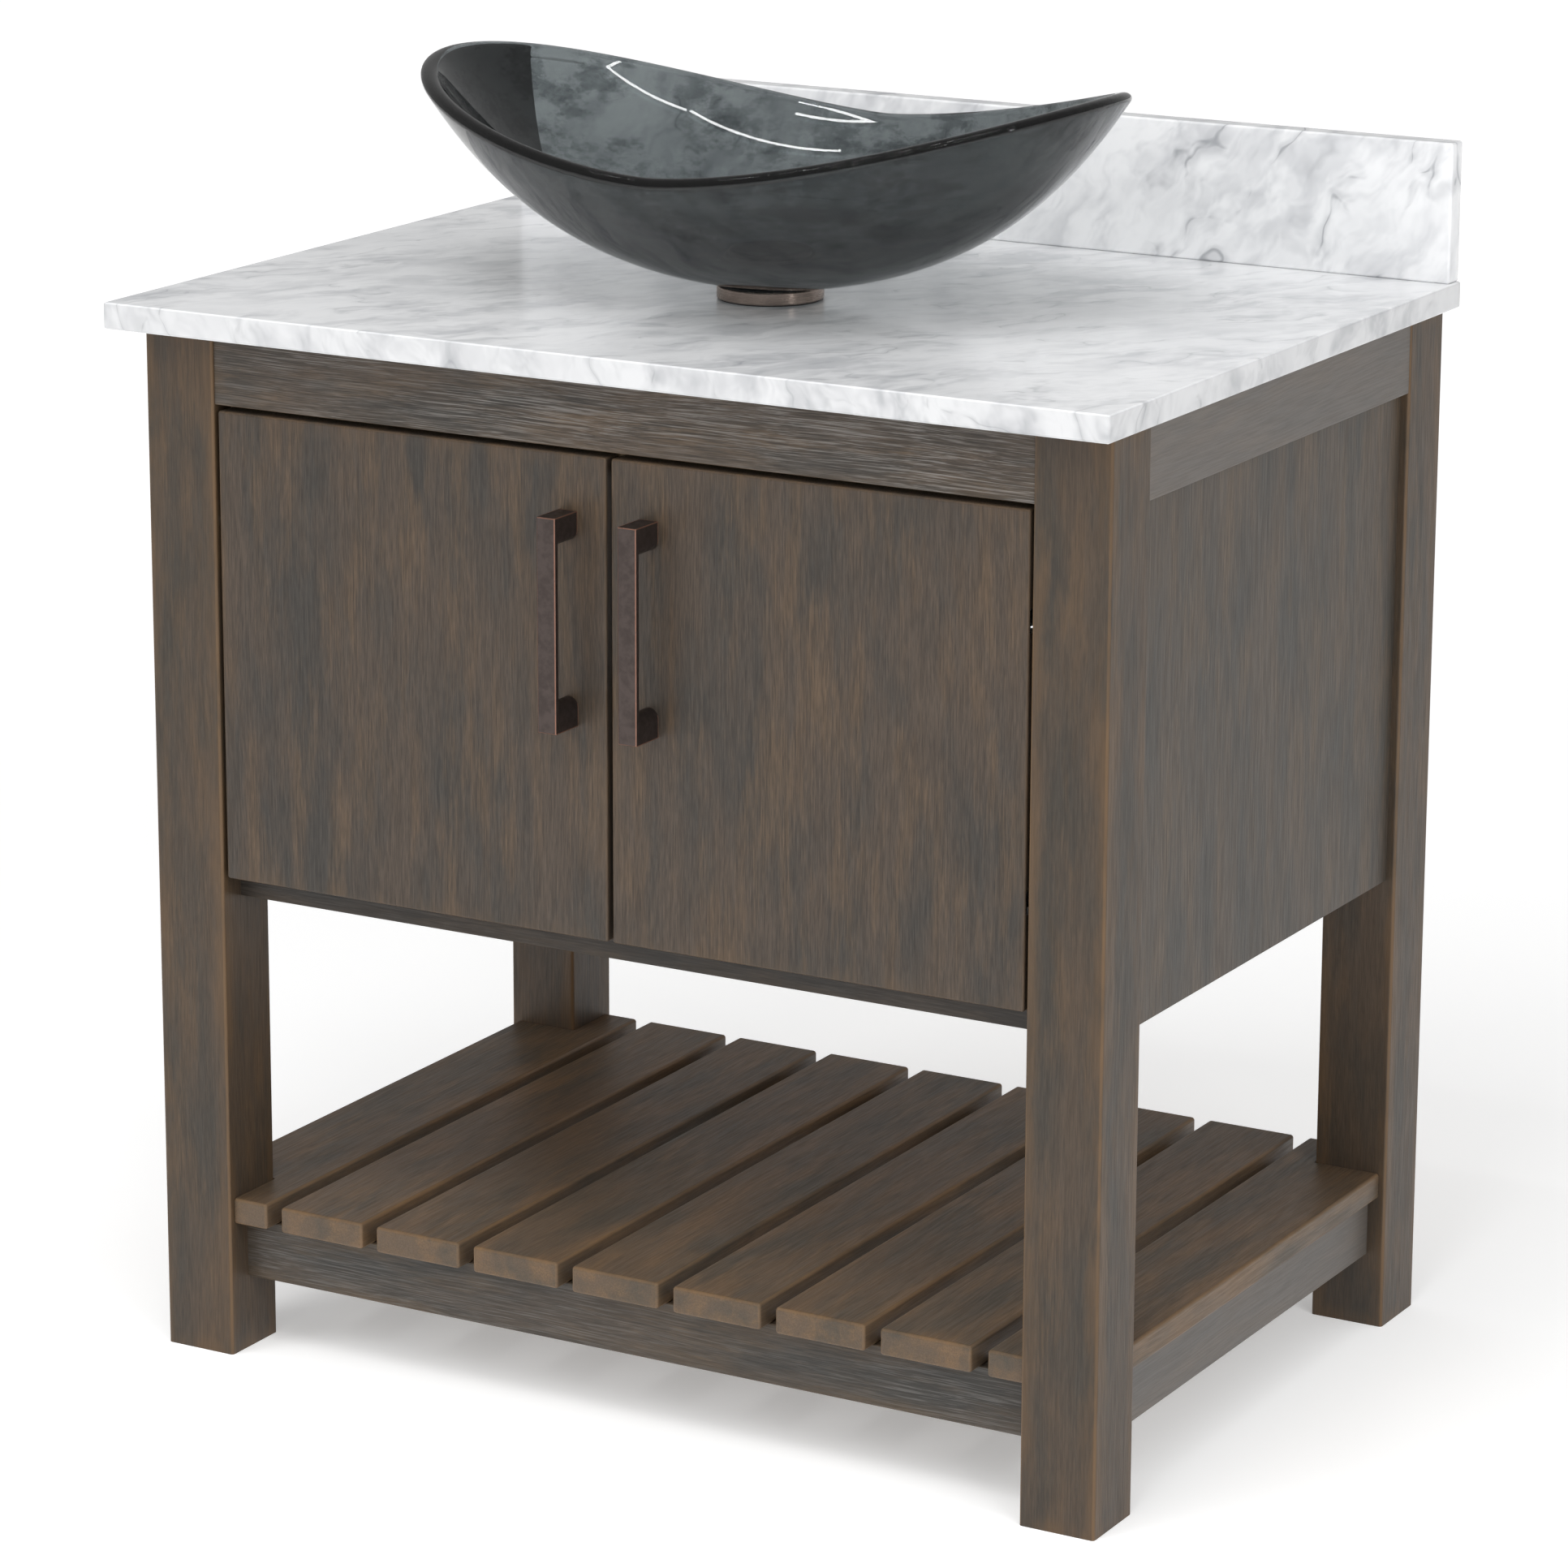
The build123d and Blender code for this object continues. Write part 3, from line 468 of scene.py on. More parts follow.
def stained_grain_group(wood):
    """Shared node group: grain along Z, from coordinates in metres."""
    tree = bpy.data.node_groups.new("Stained grain", "ShaderNodeTree")
    face = tree.interface
    face.new_socket("Vector", in_out="INPUT", socket_type="NodeSocketVector")
    for name in ("Edge", "Grain", "Brushing", "Wear", "Fading"):
        face.new_socket(name, in_out="INPUT", socket_type="NodeSocketFloat")
    face.new_socket("Tone", in_out="INPUT", socket_type="NodeSocketColor")
    for name, kind in (("Color", "Color"), ("Roughness", "Float"), ("Height", "Float")):
        face.new_socket(name, in_out="OUTPUT", socket_type="NodeSocket" + kind)
    start = add_node(tree, "NodeGroupInput")
    vector = start.outputs["Vector"]

    sway = noise(tree, stretched(tree, vector, (11.0, 11.0, 4.0)), detail=2.0)
    sway = vector_maths(tree, "SUBTRACT", sway.outputs["Color"], (0.5, 0.5, 0.5))
    sway = vector_maths(tree, "MULTIPLY", sway, (0.010, 0.010, 0.0))
    vector = vector_maths(tree, "ADD", vector, sway)

    patches = noise(tree, stretched(tree, vector, (30.0, 30.0, 7.0)), detail=5.0,
                    roughness=0.62).outputs["Fac"]
    warm = noise(tree, stretched(tree, vector, (46.0, 46.0, 8.0), (3.1, 7.7, 1.3)),
                 detail=5.0, roughness=0.65).outputs["Fac"]
    streaks = noise(tree, stretched(tree, vector, (760.0, 760.0, 24.0)), detail=3.0,
                    roughness=0.6).outputs["Fac"]
    fibres = noise(tree, stretched(tree, vector, (1500.0, 1500.0, 75.0)), detail=2.0,
                   roughness=0.6).outputs["Fac"]

    ramp = add_node(tree, "ShaderNodeValToRGB", {"Fac": patches})
    ramp.color_ramp.elements[0].position = 0.38
    ramp.color_ramp.elements[0].color = solid(wood.slate)
    ramp.color_ramp.elements[1].position = 0.58
    ramp.color_ramp.elements[1].color = solid(wood.brown)
    warmth = maths(tree, "MULTIPLY", eased(tree, warm, 0.45, 0.68),
                   eased(tree, streaks, 0.34, 0.60, 0.55, 1.0))
    colour = mixed(tree, maths(tree, "MULTIPLY", warmth, 0.52), ramp.outputs[0],
                   solid(wood.amber))
    worked = maths(tree, "MULTIPLY", eased(tree, streaks, 0.30, 0.70, 0.84, 1.16),
                   eased(tree, fibres, 0.28, 0.72, 0.76, 1.26))
    share = start.outputs["Grain"]
    colour = mixed(tree, share, colour, dimmed(tree, colour, worked))

    lines = noise(tree, stretched(tree, vector, (1150.0, 1150.0, 20.0), (5.0, 2.0, 9.0)),
                  detail=3.0, roughness=0.7).outputs["Fac"]
    areas = noise(tree, stretched(tree, vector, (26.0, 26.0, 5.0), (1.0, 4.0, 2.0)),
                  detail=2.0).outputs["Fac"]
    raised = maths(tree, "MULTIPLY", eased(tree, lines, 0.48, 0.64),
                   eased(tree, areas, 0.36, 0.60, 0.35, 1.0))
    raised = maths(tree, "MULTIPLY", raised, start.outputs["Brushing"])
    colour = mixed(tree, raised, colour, solid(wood.ash))
    sunk = maths(tree, "MULTIPLY", eased(tree, lines, 0.46, 0.32), start.outputs["Brushing"])
    colour = mixed(tree, sunk, colour, scaled(wood.slate, 0.5))

    near = eased(tree, start.outputs["Edge"], 0.015, 0.0)
    near = maths(tree, "MULTIPLY", near, eased(tree, warm, 0.34, 0.58, 0.05, 0.75))
    near = maths(tree, "MULTIPLY", near, start.outputs["Wear"])
    colour = mixed(tree, near, colour, solid(wood.amber))
    rub = maths(tree, "MULTIPLY", edge_wear(tree, 0.88, 0.992),
                eased(tree, patches, 0.34, 0.52, 0.45, 1.0))
    rub = maths(tree, "MULTIPLY", rub, maths(tree, "MULTIPLY", start.outputs["Wear"], 0.6))
    colour = mixed(tree, rub, colour, scaled(wood.amber, 1.7))
    # Painted sheen: a lighter grey wash mixed into the colour, standing in for the satin sheen on
    # the side faces.
    colour = mixed(tree, start.outputs["Fading"], colour, scaled(wood.ash, 0.60))
    # Tone multiplies the colour; it carries painted shade on the bottom rails and painted light on
    # the side rails and the slats.
    colour = mixed(tree, 1.0, colour, start.outputs["Tone"], "MULTIPLY")

    rough = eased(tree, streaks, 0.3, 0.7, 0.52, 0.38)
    height = maths(tree, "ADD", maths(tree, "MULTIPLY", fibres, 0.6),
                   maths(tree, "MULTIPLY", lines, 0.8))
    add_node(tree, "NodeGroupOutput", {"Color": colour, "Roughness": rough, "Height": height})
    return tree


def stained_wood(name, turn, grain_share, brushing=0.0, wear=0.0, painted_sheen=0.0,
                 tone=(1.0, 1.0, 1.0)):
    """Dark grey-brown satin wood with its grain along one direction."""
    group = bpy.data.node_groups.get("Stained grain")
    if group is None:
        group = stained_grain_group(bpy.context.scene.vanity_wood)
    material, tree, shader, _ = new_material(name)
    place = object_place(tree)
    place = vector_maths(tree, "ADD", place, own_value(tree, "board_shift"))
    turned = add_node(tree, "ShaderNodeMapping",
                      {"Vector": place, "Rotation": GRAIN_TURNS[turn]}).outputs[0]
    grain = add_node(tree, "ShaderNodeGroup", node_tree=group)
    tree.links.new(turned, grain.inputs["Vector"])
    tree.links.new(edge_distance(tree), grain.inputs["Edge"])
    constants(grain, Grain=grain_share, Brushing=brushing, Wear=wear, Fading=painted_sheen,
              Tone=solid(tone))
    tree.links.new(grain.outputs["Color"], shader.inputs["Base Color"])
    tree.links.new(grain.outputs["Roughness"], shader.inputs["Roughness"])
    constants(shader, Specular_IOR_Level=0.40)
    bumped(tree, shader, grain.outputs["Height"], 0.35, 0.00035)
    return material


def inner_board(wood):
    """Plain sanded plywood and pine."""
    material, tree, shader, _ = new_material("Plain inner wood")
    place = object_place(tree)
    grain = noise(tree, stretched(tree, place, (9.0, 120.0, 120.0)), detail=4.0,
                  distortion=0.4).outputs["Fac"]
    rings = noise(tree, stretched(tree, place, (2.5, 24.0, 24.0)), detail=3.0,
                  distortion=1.2).outputs["Fac"]
    colour = mixed(tree, eased(tree, rings, 0.4, 0.65, 0.0, 0.55), solid(wood.inside),
                   scaled(wood.inside, 0.62))
    colour = dimmed(tree, colour, eased(tree, grain, 0.3, 0.7, 0.88, 1.1))
    tree.links.new(colour, shader.inputs["Base Color"])
    constants(shader, Roughness=0.62)
    bumped(tree, shader, grain, 0.25, 0.0003)
    return material


# ---------------------------------------------------------------- marble

def white_marble(name, turn, stretch, veining, sides, marble):
    """Polished white stone with mottled grey clouds and thin broken veins.

    Its upright faces are painted darker, to the given share of the level ones' brightness: painted
    shade.
    """
    material, tree, shader, _ = new_material(name)
    place = object_place(tree)
    place = vector_maths(tree, "ADD", place, own_value(tree, "board_shift"))
    place = add_node(tree, "ShaderNodeMapping",
                     {"Vector": place, "Rotation": turn}).outputs[0]
    swirl = noise(tree, place, scale=13.0, detail=3.0, roughness=0.55).outputs["Color"]
    swirl = vector_maths(tree, "SUBTRACT", swirl, (0.5, 0.5, 0.5))
    swirl = vector_maths(tree, "MULTIPLY", swirl, (0.055, 0.055, 0.055))
    bent = vector_maths(tree, "ADD", place, swirl)

    def streaked(scale, shift, detail):
        size = [part * scale for part in stretch]
        return noise(tree, stretched(tree, bent, size, shift), detail=detail,
                     roughness=0.64).outputs["Fac"]

    broad = streaked(7.0, (0.0, 0.0, 0.0), 3.0)
    patchy = streaked(21.0, (2.0, 5.0, 1.0), 3.0)
    mottle = streaked(52.0, (4.0, 1.0, 3.0), 2.0)
    cloud = maths(tree, "MULTIPLY", eased(tree, broad, 0.34, 0.62, 0.20, 1.0),
                  eased(tree, patchy, 0.38, 0.66))
    cloud = maths(tree, "ADD", cloud, eased(tree, mottle, 0.46, 0.76, 0.0, 0.35))
    colour = mixed(tree, maths(tree, "MULTIPLY", cloud, 0.64), solid(marble.ground),
                   solid(marble.cloud))

    line = streaked(10.0, (7.0, 3.0, 4.0), 2.0)
    distance = maths(tree, "ABSOLUTE", maths(tree, "SUBTRACT", line, 0.5))
    vein = maths(tree, "MAXIMUM", eased(tree, distance, 0.018, 0.0),
                 eased(tree, distance, 0.08, 0.0, 0.0, 0.45))
    breaks = streaked(20.0, (1.0, 8.0, 6.0), 3.0)
    vein = maths(tree, "MULTIPLY", vein, eased(tree, breaks, 0.47, 0.62))
    colour = mixed(tree, maths(tree, "MULTIPLY", vein, veining), colour, solid(marble.vein))
    # Painted shade: upright faces are darkened to the share given by sides, level faces keep their
    # colour.
    normal = add_node(tree, "ShaderNodeTexCoord").outputs["Normal"]
    normal = add_node(tree, "ShaderNodeSeparateXYZ", {0: normal})
    level = maths(tree, "ABSOLUTE", normal.outputs["Z"])
    colour = dimmed(tree, colour, eased(tree, level, 0.3, 0.8, sides, 1.0))
    tree.links.new(colour, shader.inputs["Base Color"])
    tree.links.new(eased(tree, mottle, 0.3, 0.7, marble.polish, marble.polish + 0.05),
                   shader.inputs["Roughness"])
    constants(shader, Specular_IOR_Level=0.5)
    ripple = noise(tree, place, scale=22.0, detail=2.0).outputs["Fac"]
    bumped(tree, shader, ripple, 0.05, 0.0004)
    return material


# ---------------------------------------------------------------- metal, rubber, plastic

def rubbed_bronze(metal):
    """Dark bronze with copper showing along its worn edges."""
    material, tree, shader, _ = new_material("Oil rubbed bronze")
    place = object_place(tree)
    mottle = noise(tree, place, scale=160.0, detail=4.0, roughness=0.6).outputs["Fac"]
    speck = noise(tree, place, scale=900.0, detail=2.0).outputs["Fac"]
    colour = mixed(tree, eased(tree, mottle, 0.35, 0.68, 0.0, 0.5), solid(metal.bronze),
                   scaled(metal.bronze, 0.6))
    near = eased(tree, edge_distance(tree), 0.0009, 0.0003)
    wear = maths(tree, "MULTIPLY", near, eased(tree, mottle, 0.30, 0.50, 0.55, 1.0))
    colour = mixed(tree, maths(tree, "MULTIPLY", wear, 0.8), colour, solid(metal.copper))
    tree.links.new(colour, shader.inputs["Base Color"])
    tree.links.new(eased(tree, mottle, 0.3, 0.7, 0.34, 0.46), shader.inputs["Roughness"])
    constants(shader, Metallic=0.85)
    bumped(tree, shader, speck, 0.10, 0.0002)
    return material


def brushed_bronze(name, colour, roughness):
    """Turned and brushed bronze, its marks running round the ring."""
    material, tree, shader, _ = new_material(name)
    place = object_place(tree)
    marks = noise(tree, stretched(tree, place, (60.0, 60.0, 3200.0)), detail=3.0,
                  roughness=0.7).outputs["Fac"]
    cloud = noise(tree, place, scale=55.0, detail=3.0).outputs["Fac"]
    colour = mixed(tree, eased(tree, cloud, 0.35, 0.65, 0.0, 0.6), solid(colour),
                   scaled(colour, 0.55))
    colour = dimmed(tree, colour, eased(tree, marks, 0.3, 0.7, 0.85, 1.12))
    tree.links.new(colour, shader.inputs["Base Color"])
    tree.links.new(eased(tree, marks, 0.3, 0.7, roughness, roughness + 0.12),
                   shader.inputs["Roughness"])
    constants(shader, Metallic=1.0)
    bumped(tree, shader, marks, 0.12, 0.0001)
    return material


def plated_steel(name, colour):
    """Plated pressed steel."""
    material, tree, shader, _ = new_material(name)
    place = object_place(tree)
    cloud = noise(tree, place, scale=240.0, detail=4.0).outputs["Fac"]
    colour = mixed(tree, eased(tree, cloud, 0.35, 0.65, 0.0, 0.4), solid(colour),
                   scaled(colour, 0.75))
    tree.links.new(colour, shader.inputs["Base Color"])
    tree.links.new(eased(tree, cloud, 0.3, 0.7, 0.24, 0.36), shader.inputs["Roughness"])
    constants(shader, Metallic=1.0)
    return material


def seal_rubber():
    """Matt black rubber."""
    material, tree, shader, _ = new_material("Seal rubber")
    place = object_place(tree)
    dust = noise(tree, place, scale=420.0, detail=3.0).outputs["Fac"]
    colour = mixed(tree, eased(tree, dust, 0.4, 0.7, 0.0, 0.5), solid((0.018, 0.018, 0.019)),
                   solid((0.045, 0.045, 0.044)))
    tree.links.new(colour, shader.inputs["Base Color"])
    constants(shader, Roughness=0.7)
    bumped(tree, shader, dust, 0.2, 0.0002)
    return material


def clear_pad():
    """Soft clear plastic, slightly cloudy."""
    material, tree, shader, _ = new_material("Clear pad")
    place = object_place(tree)
    haze = noise(tree, place, scale=700.0, detail=2.0).outputs["Fac"]
    colour = mixed(tree, eased(tree, haze, 0.4, 0.6, 0.0, 0.4), solid((0.80, 0.80, 0.78)),
                   solid((0.62, 0.62, 0.60)))
    tree.links.new(colour, shader.inputs["Base Color"])
    constants(shader, Roughness=0.25, Coat_Weight=0.3)
    return material


# ---------------------------------------------------------------- glass bowl

def dish_rise(share):
    """Height of the dish, from 0 to 1, at a share of its half length."""
    return sum(weight * share ** power for weight, power in DISH_TERMS)


def turning_point(low, high, is_short):
    """Largest value between two bounds at which the test still holds."""
    for _ in range(SEARCH_STEPS):
        middle = (low + high) / 2
        if is_short(middle):
            low = middle
        else:
            high = middle
    return low


class Dish:
    """One of the bowl's two curved sides."""

    def __init__(self, half_length, width, base, tip):
        self.half_length = half_length
        self.half_width = half_length * width
        self.base = base
        self.rise = tip - base

    def share(self, x, y):
        return math.hypot(x / self.half_length, y / self.half_width)

    def height(self, x, y):
        return self.base + self.rise * dish_rise(self.share(x, y))

    def point(self, x, y):
        return Vector((x, y, self.height(x, y)))

    def at(self, share, turn):
        return (self.half_length * share * math.cos(turn),
                self.half_width * share * math.sin(turn))

    def rim_share(self, turn, rim_height, drop):
        """Share at which this side comes to the given drop below the rim."""
        def is_short(share):
            x, y = self.at(share, turn)
            return self.height(x, y) < rim_height(x) - drop

        return turning_point(0.3, 1.2, is_short)

    def foot_share(self, height):
        """Share at which this side is at a height near its bottom."""
        return turning_point(
            0.0, 1.0, lambda share: self.base + self.rise * dish_rise(share) < height)


def corner(before, middle, after):
    """Rounded corner: a quarter of an ellipse between two points, inside the middle one."""
    points = []
    for step in range(1, CORNER_STEPS):
        turn = math.pi / 2 * step / CORNER_STEPS
        points.append(middle + (before - middle) * (1 - math.sin(turn))
                      + (after - middle) * (1 - math.cos(turn)))
    return points


def bowl_profile(bowl, outer, inner, rim_height, turn):
    """Points round the glass at one turn.

    They run under the foot, up the outside, over the rim and down the inside.
    """
    hole = Vector((bowl.drain_radius * math.cos(turn), bowl.drain_radius * math.sin(turn), 0))
    foot_x, foot_y = outer.at(outer.foot_share(bowl.foot), turn)
    outer_x, outer_y = outer.at(outer.rim_share(turn, rim_height, bowl.rim_drop), turn)
    inner_x, inner_y = inner.at(inner.rim_share(turn, rim_height, -bowl.rim_lift), turn)
    outer_edge = outer.point(outer_x, outer_y)
    inner_edge = inner.point(inner_x, inner_y)

    def walk(side, start, end, shares):
        return [side.point(start[0] + (end[0] - start[0]) * share,
                           start[1] + (end[1] - start[1]) * share) for share in shares]

    def short_of(side, start, end, edge):
        """How far along the walk the rounded edge begins."""
        near = walk(side, start, end, [1 - END_STEP])[0]
        return 1 - bowl.polish / ((edge - near).length / END_STEP)

    steps = bowl.rings
    outer_end = short_of(outer, (foot_x, foot_y), (outer_x, outer_y), outer_edge)
    inner_end = short_of(inner, hole, (inner_x, inner_y), inner_edge)
    up = walk(outer, (foot_x, foot_y), (outer_x, outer_y),
              [outer_end * step / steps for step in range(steps + 1)])
    down = walk(inner, hole, (inner_x, inner_y),
                [inner_end * step / steps for step in range(steps, -1, -1)])
    up[0].z = bowl.foot
    under = Vector((hole.x, hole.y, bowl.foot))
    crest = (outer_edge + inner_edge) / 2
    return ([under] + up + corner(up[-1], outer_edge, crest) + [crest]
            + corner(crest, inner_edge, down[0]) + down)


def bowl_mesh(bowl):
    """Closed mesh of the glass bowl, in the frame it shares with the CAD."""
    outer = Dish(bowl.half_length, bowl.outer_width, bowl.base, bowl.tip)
    inner = Dish(bowl.half_length - bowl.rim_wall, bowl.inner_width, bowl.floor, bowl.tip)
    middle = Vector(((bowl_low.x + bowl_high.x) / 2, (ring_low.y + ring_high.y) / 2, 0))

    def rim_height(x):
        rise = abs(x / bowl.half_length) ** RIM_POWER
        return bowl.rim_low + (bowl.tip - bowl.rim_low) * rise

    work = bmesh.new()
    rows = []
    for number in range(bowl.spokes):
        turn = 2 * math.pi * number / bowl.spokes
        profile = bowl_profile(bowl, outer, inner, rim_height, turn)
        rows.append([work.verts.new(point + middle) for point in profile])
    count = len(rows[0])
    for number, row in enumerate(rows):
        following = rows[(number + 1) % len(rows)]
        for index in range(count):
            after = (index + 1) % count
            work.faces.new((row[index], following[index], following[after], row[after]))
    bmesh.ops.recalc_face_normals(work, faces=work.faces)
    for face in work.faces:
        face.smooth = True
    mesh = bpy.data.meshes.new("polished_bowl")
    work.to_mesh(mesh)
    work.free()
    mesh.set_sharp_from_angle(angle=SHARP_ANGLE)
    return mesh


def smoky_glass(bowl):
    """Grey glass with darker mottled patches in its colour.

    It darkens with its thickness, and lets the lamps light what stands under it.
    """
    material, tree, shader, output = new_material("Smoky glass")
    place = object_place(tree)
    fine_mottle = noise(tree, stretched(tree, place, (26.0, 26.0, 44.0)), detail=6.0,
                  roughness=0.68).outputs["Fac"]
    patches = noise(tree, place, scale=11.0, detail=2.0).outputs["Fac"]
    mottle_share = maths(tree, "MULTIPLY", eased(tree, fine_mottle, 0.47, 0.60),
                  eased(tree, patches, 0.36, 0.56))
    tree.links.new(mixed(tree, mottle_share, solid(WHITE), solid((0.40, 0.42, 0.43))),
                   shader.inputs["Base Color"])
    constants(shader, Roughness=0.0, IOR=1.5, Transmission_Weight=1.0)
    waves = noise(tree, place, scale=9.0, detail=1.0).outputs["Fac"]
    bumped(tree, shader, waves, 0.012, 0.002)
    clear = add_node(tree, "ShaderNodeBsdfTransparent", {"Color": scaled(WHITE, 0.93)})
    path = add_node(tree, "ShaderNodeLightPath")
    through = maths(tree, "MAXIMUM", path.outputs["Is Shadow Ray"],
                    path.outputs["Is Diffuse Ray"])
    blend = add_node(tree, "ShaderNodeMixShader",
                     {0: through, 1: shader.outputs[0], 2: clear.outputs[0]})
    tree.links.new(blend.outputs[0], output.inputs["Surface"])
    smoke = add_node(tree, "ShaderNodeVolumeAbsorption",
                     {"Color": solid(bowl.tint), "Density": bowl.density})
    tree.links.new(smoke.outputs[0], output.inputs["Volume"])
    return material


# ---------------------------------------------------------------- stage

def grid_object(name, columns, rows, placing):
    """Flat grid two metres square, moved and stretched by a matrix."""
    work = bmesh.new()
    bmesh.ops.create_grid(work, x_segments=columns, y_segments=rows, size=1.0)
    bmesh.ops.transform(work, verts=work.verts, matrix=placing)
    mesh = bpy.data.meshes.new(name)
    work.to_mesh(mesh)
    work.free()
    return new_object(name, mesh)


def make_floor(colour):
    """Large pale floor, slightly uneven in tone; the camera sees its far part brighter."""
    floor = grid_object("studio_floor", 24, 24, Matrix.Scale(FLOOR_REACH, 4))
    material, tree, shader, _ = new_material("Pale floor")
    place = object_place(tree)
    cloud = noise(tree, place, scale=1.5, detail=3.0).outputs["Fac"]
    tree.links.new(mixed(tree, eased(tree, cloud, 0.3, 0.7, 0.0, 0.05), solid(colour),
                         scaled(colour, 0.9)), shader.inputs["Base Color"])
    constants(shader, Roughness=0.9, Specular_IOR_Level=0.1, Emission_Color=solid(WHITE))
    away = add_node(tree, "ShaderNodeVectorMath", {0: place}, operation="LENGTH").outputs["Value"]
    seen = add_node(tree, "ShaderNodeLightPath").outputs["Is Camera Ray"]
    lift = maths(tree, "MULTIPLY", seen, eased(tree, away, 1.0, 4.0, 0.0, 0.26))
    tree.links.new(maths(tree, "ADD", lift, 0.32), shader.inputs["Emission Strength"])
    floor.data.materials.append(material)


def soft_light(name, place, target, size, power):
    """Square soft light aimed at a point, with no hard reflection of its own."""
    light = bpy.data.lights.new(name, "AREA")
    light.shape = "SQUARE"
    light.size = size
    light.energy = power
    lamp = new_object(name, light)
    lamp.location = place
    aim = (Vector(target) - Vector(place)).normalized()
    lamp.rotation_mode = "QUATERNION"
    lamp.rotation_quaternion = aim.to_track_quat("-Z", "Y")
    lamp.visible_camera = False
    lamp.visible_glossy = False
    lamp.visible_transmission = False
    return lamp


def strip_light(name, place, target, width, height, power):
    """Narrow light that draws a line on polished metal and glass."""
    lamp = soft_light(name, place, target, width, power)
    lamp.data.shape = "RECTANGLE"
    lamp.data.size_y = height
    lamp.visible_glossy = True


def ceiling_tube(name, start, end, power):
    """Thin tube light between two points of the ceiling, shining down."""
    start, end = Vector((*start, TUBE_HEIGHT)), Vector((*end, TUBE_HEIGHT))
    along = end - start
    light = bpy.data.lights.new(name, "AREA")
    light.shape = "RECTANGLE"
    light.size = along.length
    light.size_y = TUBE_WIDTH
    light.energy = power * along.length
    lamp = new_object(name, light)
    lamp.location = (start + end) / 2
    lamp.rotation_euler = (0.0, 0.0, math.atan2(along.y, along.x))
    lamp.visible_camera = False


def make_camera(stage):
    """Camera at the given place, aimed by its two angles."""
    camera = new_object("camera", bpy.data.cameras.new("camera"))
    camera.data.lens = stage.lens
    camera.data.sensor_width = 36.0
    camera.data.shift_y = stage.shift
    camera.data.clip_start = 0.05
    camera.data.clip_end = 80.0
    look = Vector((-math.sin(stage.azimuth) * math.cos(stage.elevation),
                   math.cos(stage.azimuth) * math.cos(stage.elevation),
                   -math.sin(stage.elevation)))
    turn = look.to_track_quat("-Z", "Y").to_matrix()
    camera.matrix_world = (Matrix.Translation(stage.camera_place)
                           @ (turn @ Matrix.Rotation(stage.roll, 3, "Z")).to_4x4())
    bpy.context.scene.camera = camera


def make_world(stage):
    """Soft white light, stronger from in front; the camera sees plain white."""
    world = bpy.data.worlds.new("studio")
    bpy.context.scene.world = world
    world.use_nodes = True
    tree = world.node_tree
    tree.nodes.clear()
    direction = add_node(tree, "ShaderNodeTexCoord").outputs["Generated"]
    facing = add_node(tree, "ShaderNodeVectorMath",
                      {0: direction, 1: BRIGHTEST_SIDE},
                      operation="DOT_PRODUCT").outputs["Value"]
    strength = eased(tree, facing, -0.7, 0.7, stage.behind, stage.ambient)
    path = add_node(tree, "ShaderNodeLightPath")
    strength = add_node(tree, "ShaderNodeMix", {0: path.outputs["Is Glossy Ray"], 2: strength,
                                                3: stage.mirrored}).outputs[0]
    strength = maths(tree, "MAXIMUM", strength, path.outputs["Is Camera Ray"])
    even = add_node(tree, "ShaderNodeBackground", {"Color": solid(WHITE), "Strength": strength})
    add_node(tree, "ShaderNodeOutputWorld", {"Surface": even.outputs[0]})


def make_dark_card():
    """Dark studio card behind the vanity, seen only through the glass."""
    upright = Matrix.Rotation(math.radians(90), 4, "X")
    card = grid_object("dark_card", 8, 4, Matrix.Translation(CARD_MIDDLE) @ upright
                       @ Matrix.Diagonal(CARD_STRETCH))
    material, tree, shader, _ = new_material("Dark card")
    place = object_place(tree)
    cloud = noise(tree, place, scale=2.0, detail=2.0).outputs["Fac"]
    tree.links.new(mixed(tree, eased(tree, cloud, 0.35, 0.65), solid((0.025, 0.027, 0.029)),
                         solid((0.07, 0.073, 0.075))), shader.inputs["Base Color"])
    constants(shader, Roughness=0.9)
    card.data.materials.append(material)
    card.visible_camera = False
    card.visible_diffuse = False
    card.visible_glossy = False
    card.visible_shadow = False


# ---------------------------------------------------------------- operators

class VANITY_OT_glass_bowl(bpy.types.Operator):
    """Builds the oval glass bowl with its polished, rising rim"""

    bl_idname = "vanity.glass_bowl"
    bl_label = "Glass bowl"

    def execute(self, context):
        settings = context.scene.vanity_bowl
        bowl = new_object("oval_glass_bowl", bowl_mesh(settings))
        bowl.data.materials.append(smoky_glass(settings))
        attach(bowl, "cabinet")
        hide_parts("glass_bowl")
        return {"FINISHED"}


class VANITY_OT_marble(bpy.types.Operator):
    """Finishes the countertop and the backsplash as polished white marble"""

    bl_idname = "vanity.marble"
    bl_label = "Marble"

    def execute(self, context):
        settings = context.scene.vanity_marble
        # Painted shade: the top's upright edges keep 0.76 of its level brightness, the
        # backsplash's 0.97.
        top = white_marble("Marble top", (math.radians(20), math.radians(12), math.radians(-52)),
                           (0.75, 1.8, 0.9), 0.45, 0.76, settings)
        splash = white_marble("Marble backsplash", (0.0, math.radians(50), math.radians(8)),
                              (0.7, 1.5, 1.5), 0.75, 0.97, settings)
        finish_nodes(("marble_top",), top)
        finish_nodes(("backsplash",), splash)
        return {"FINISHED"}


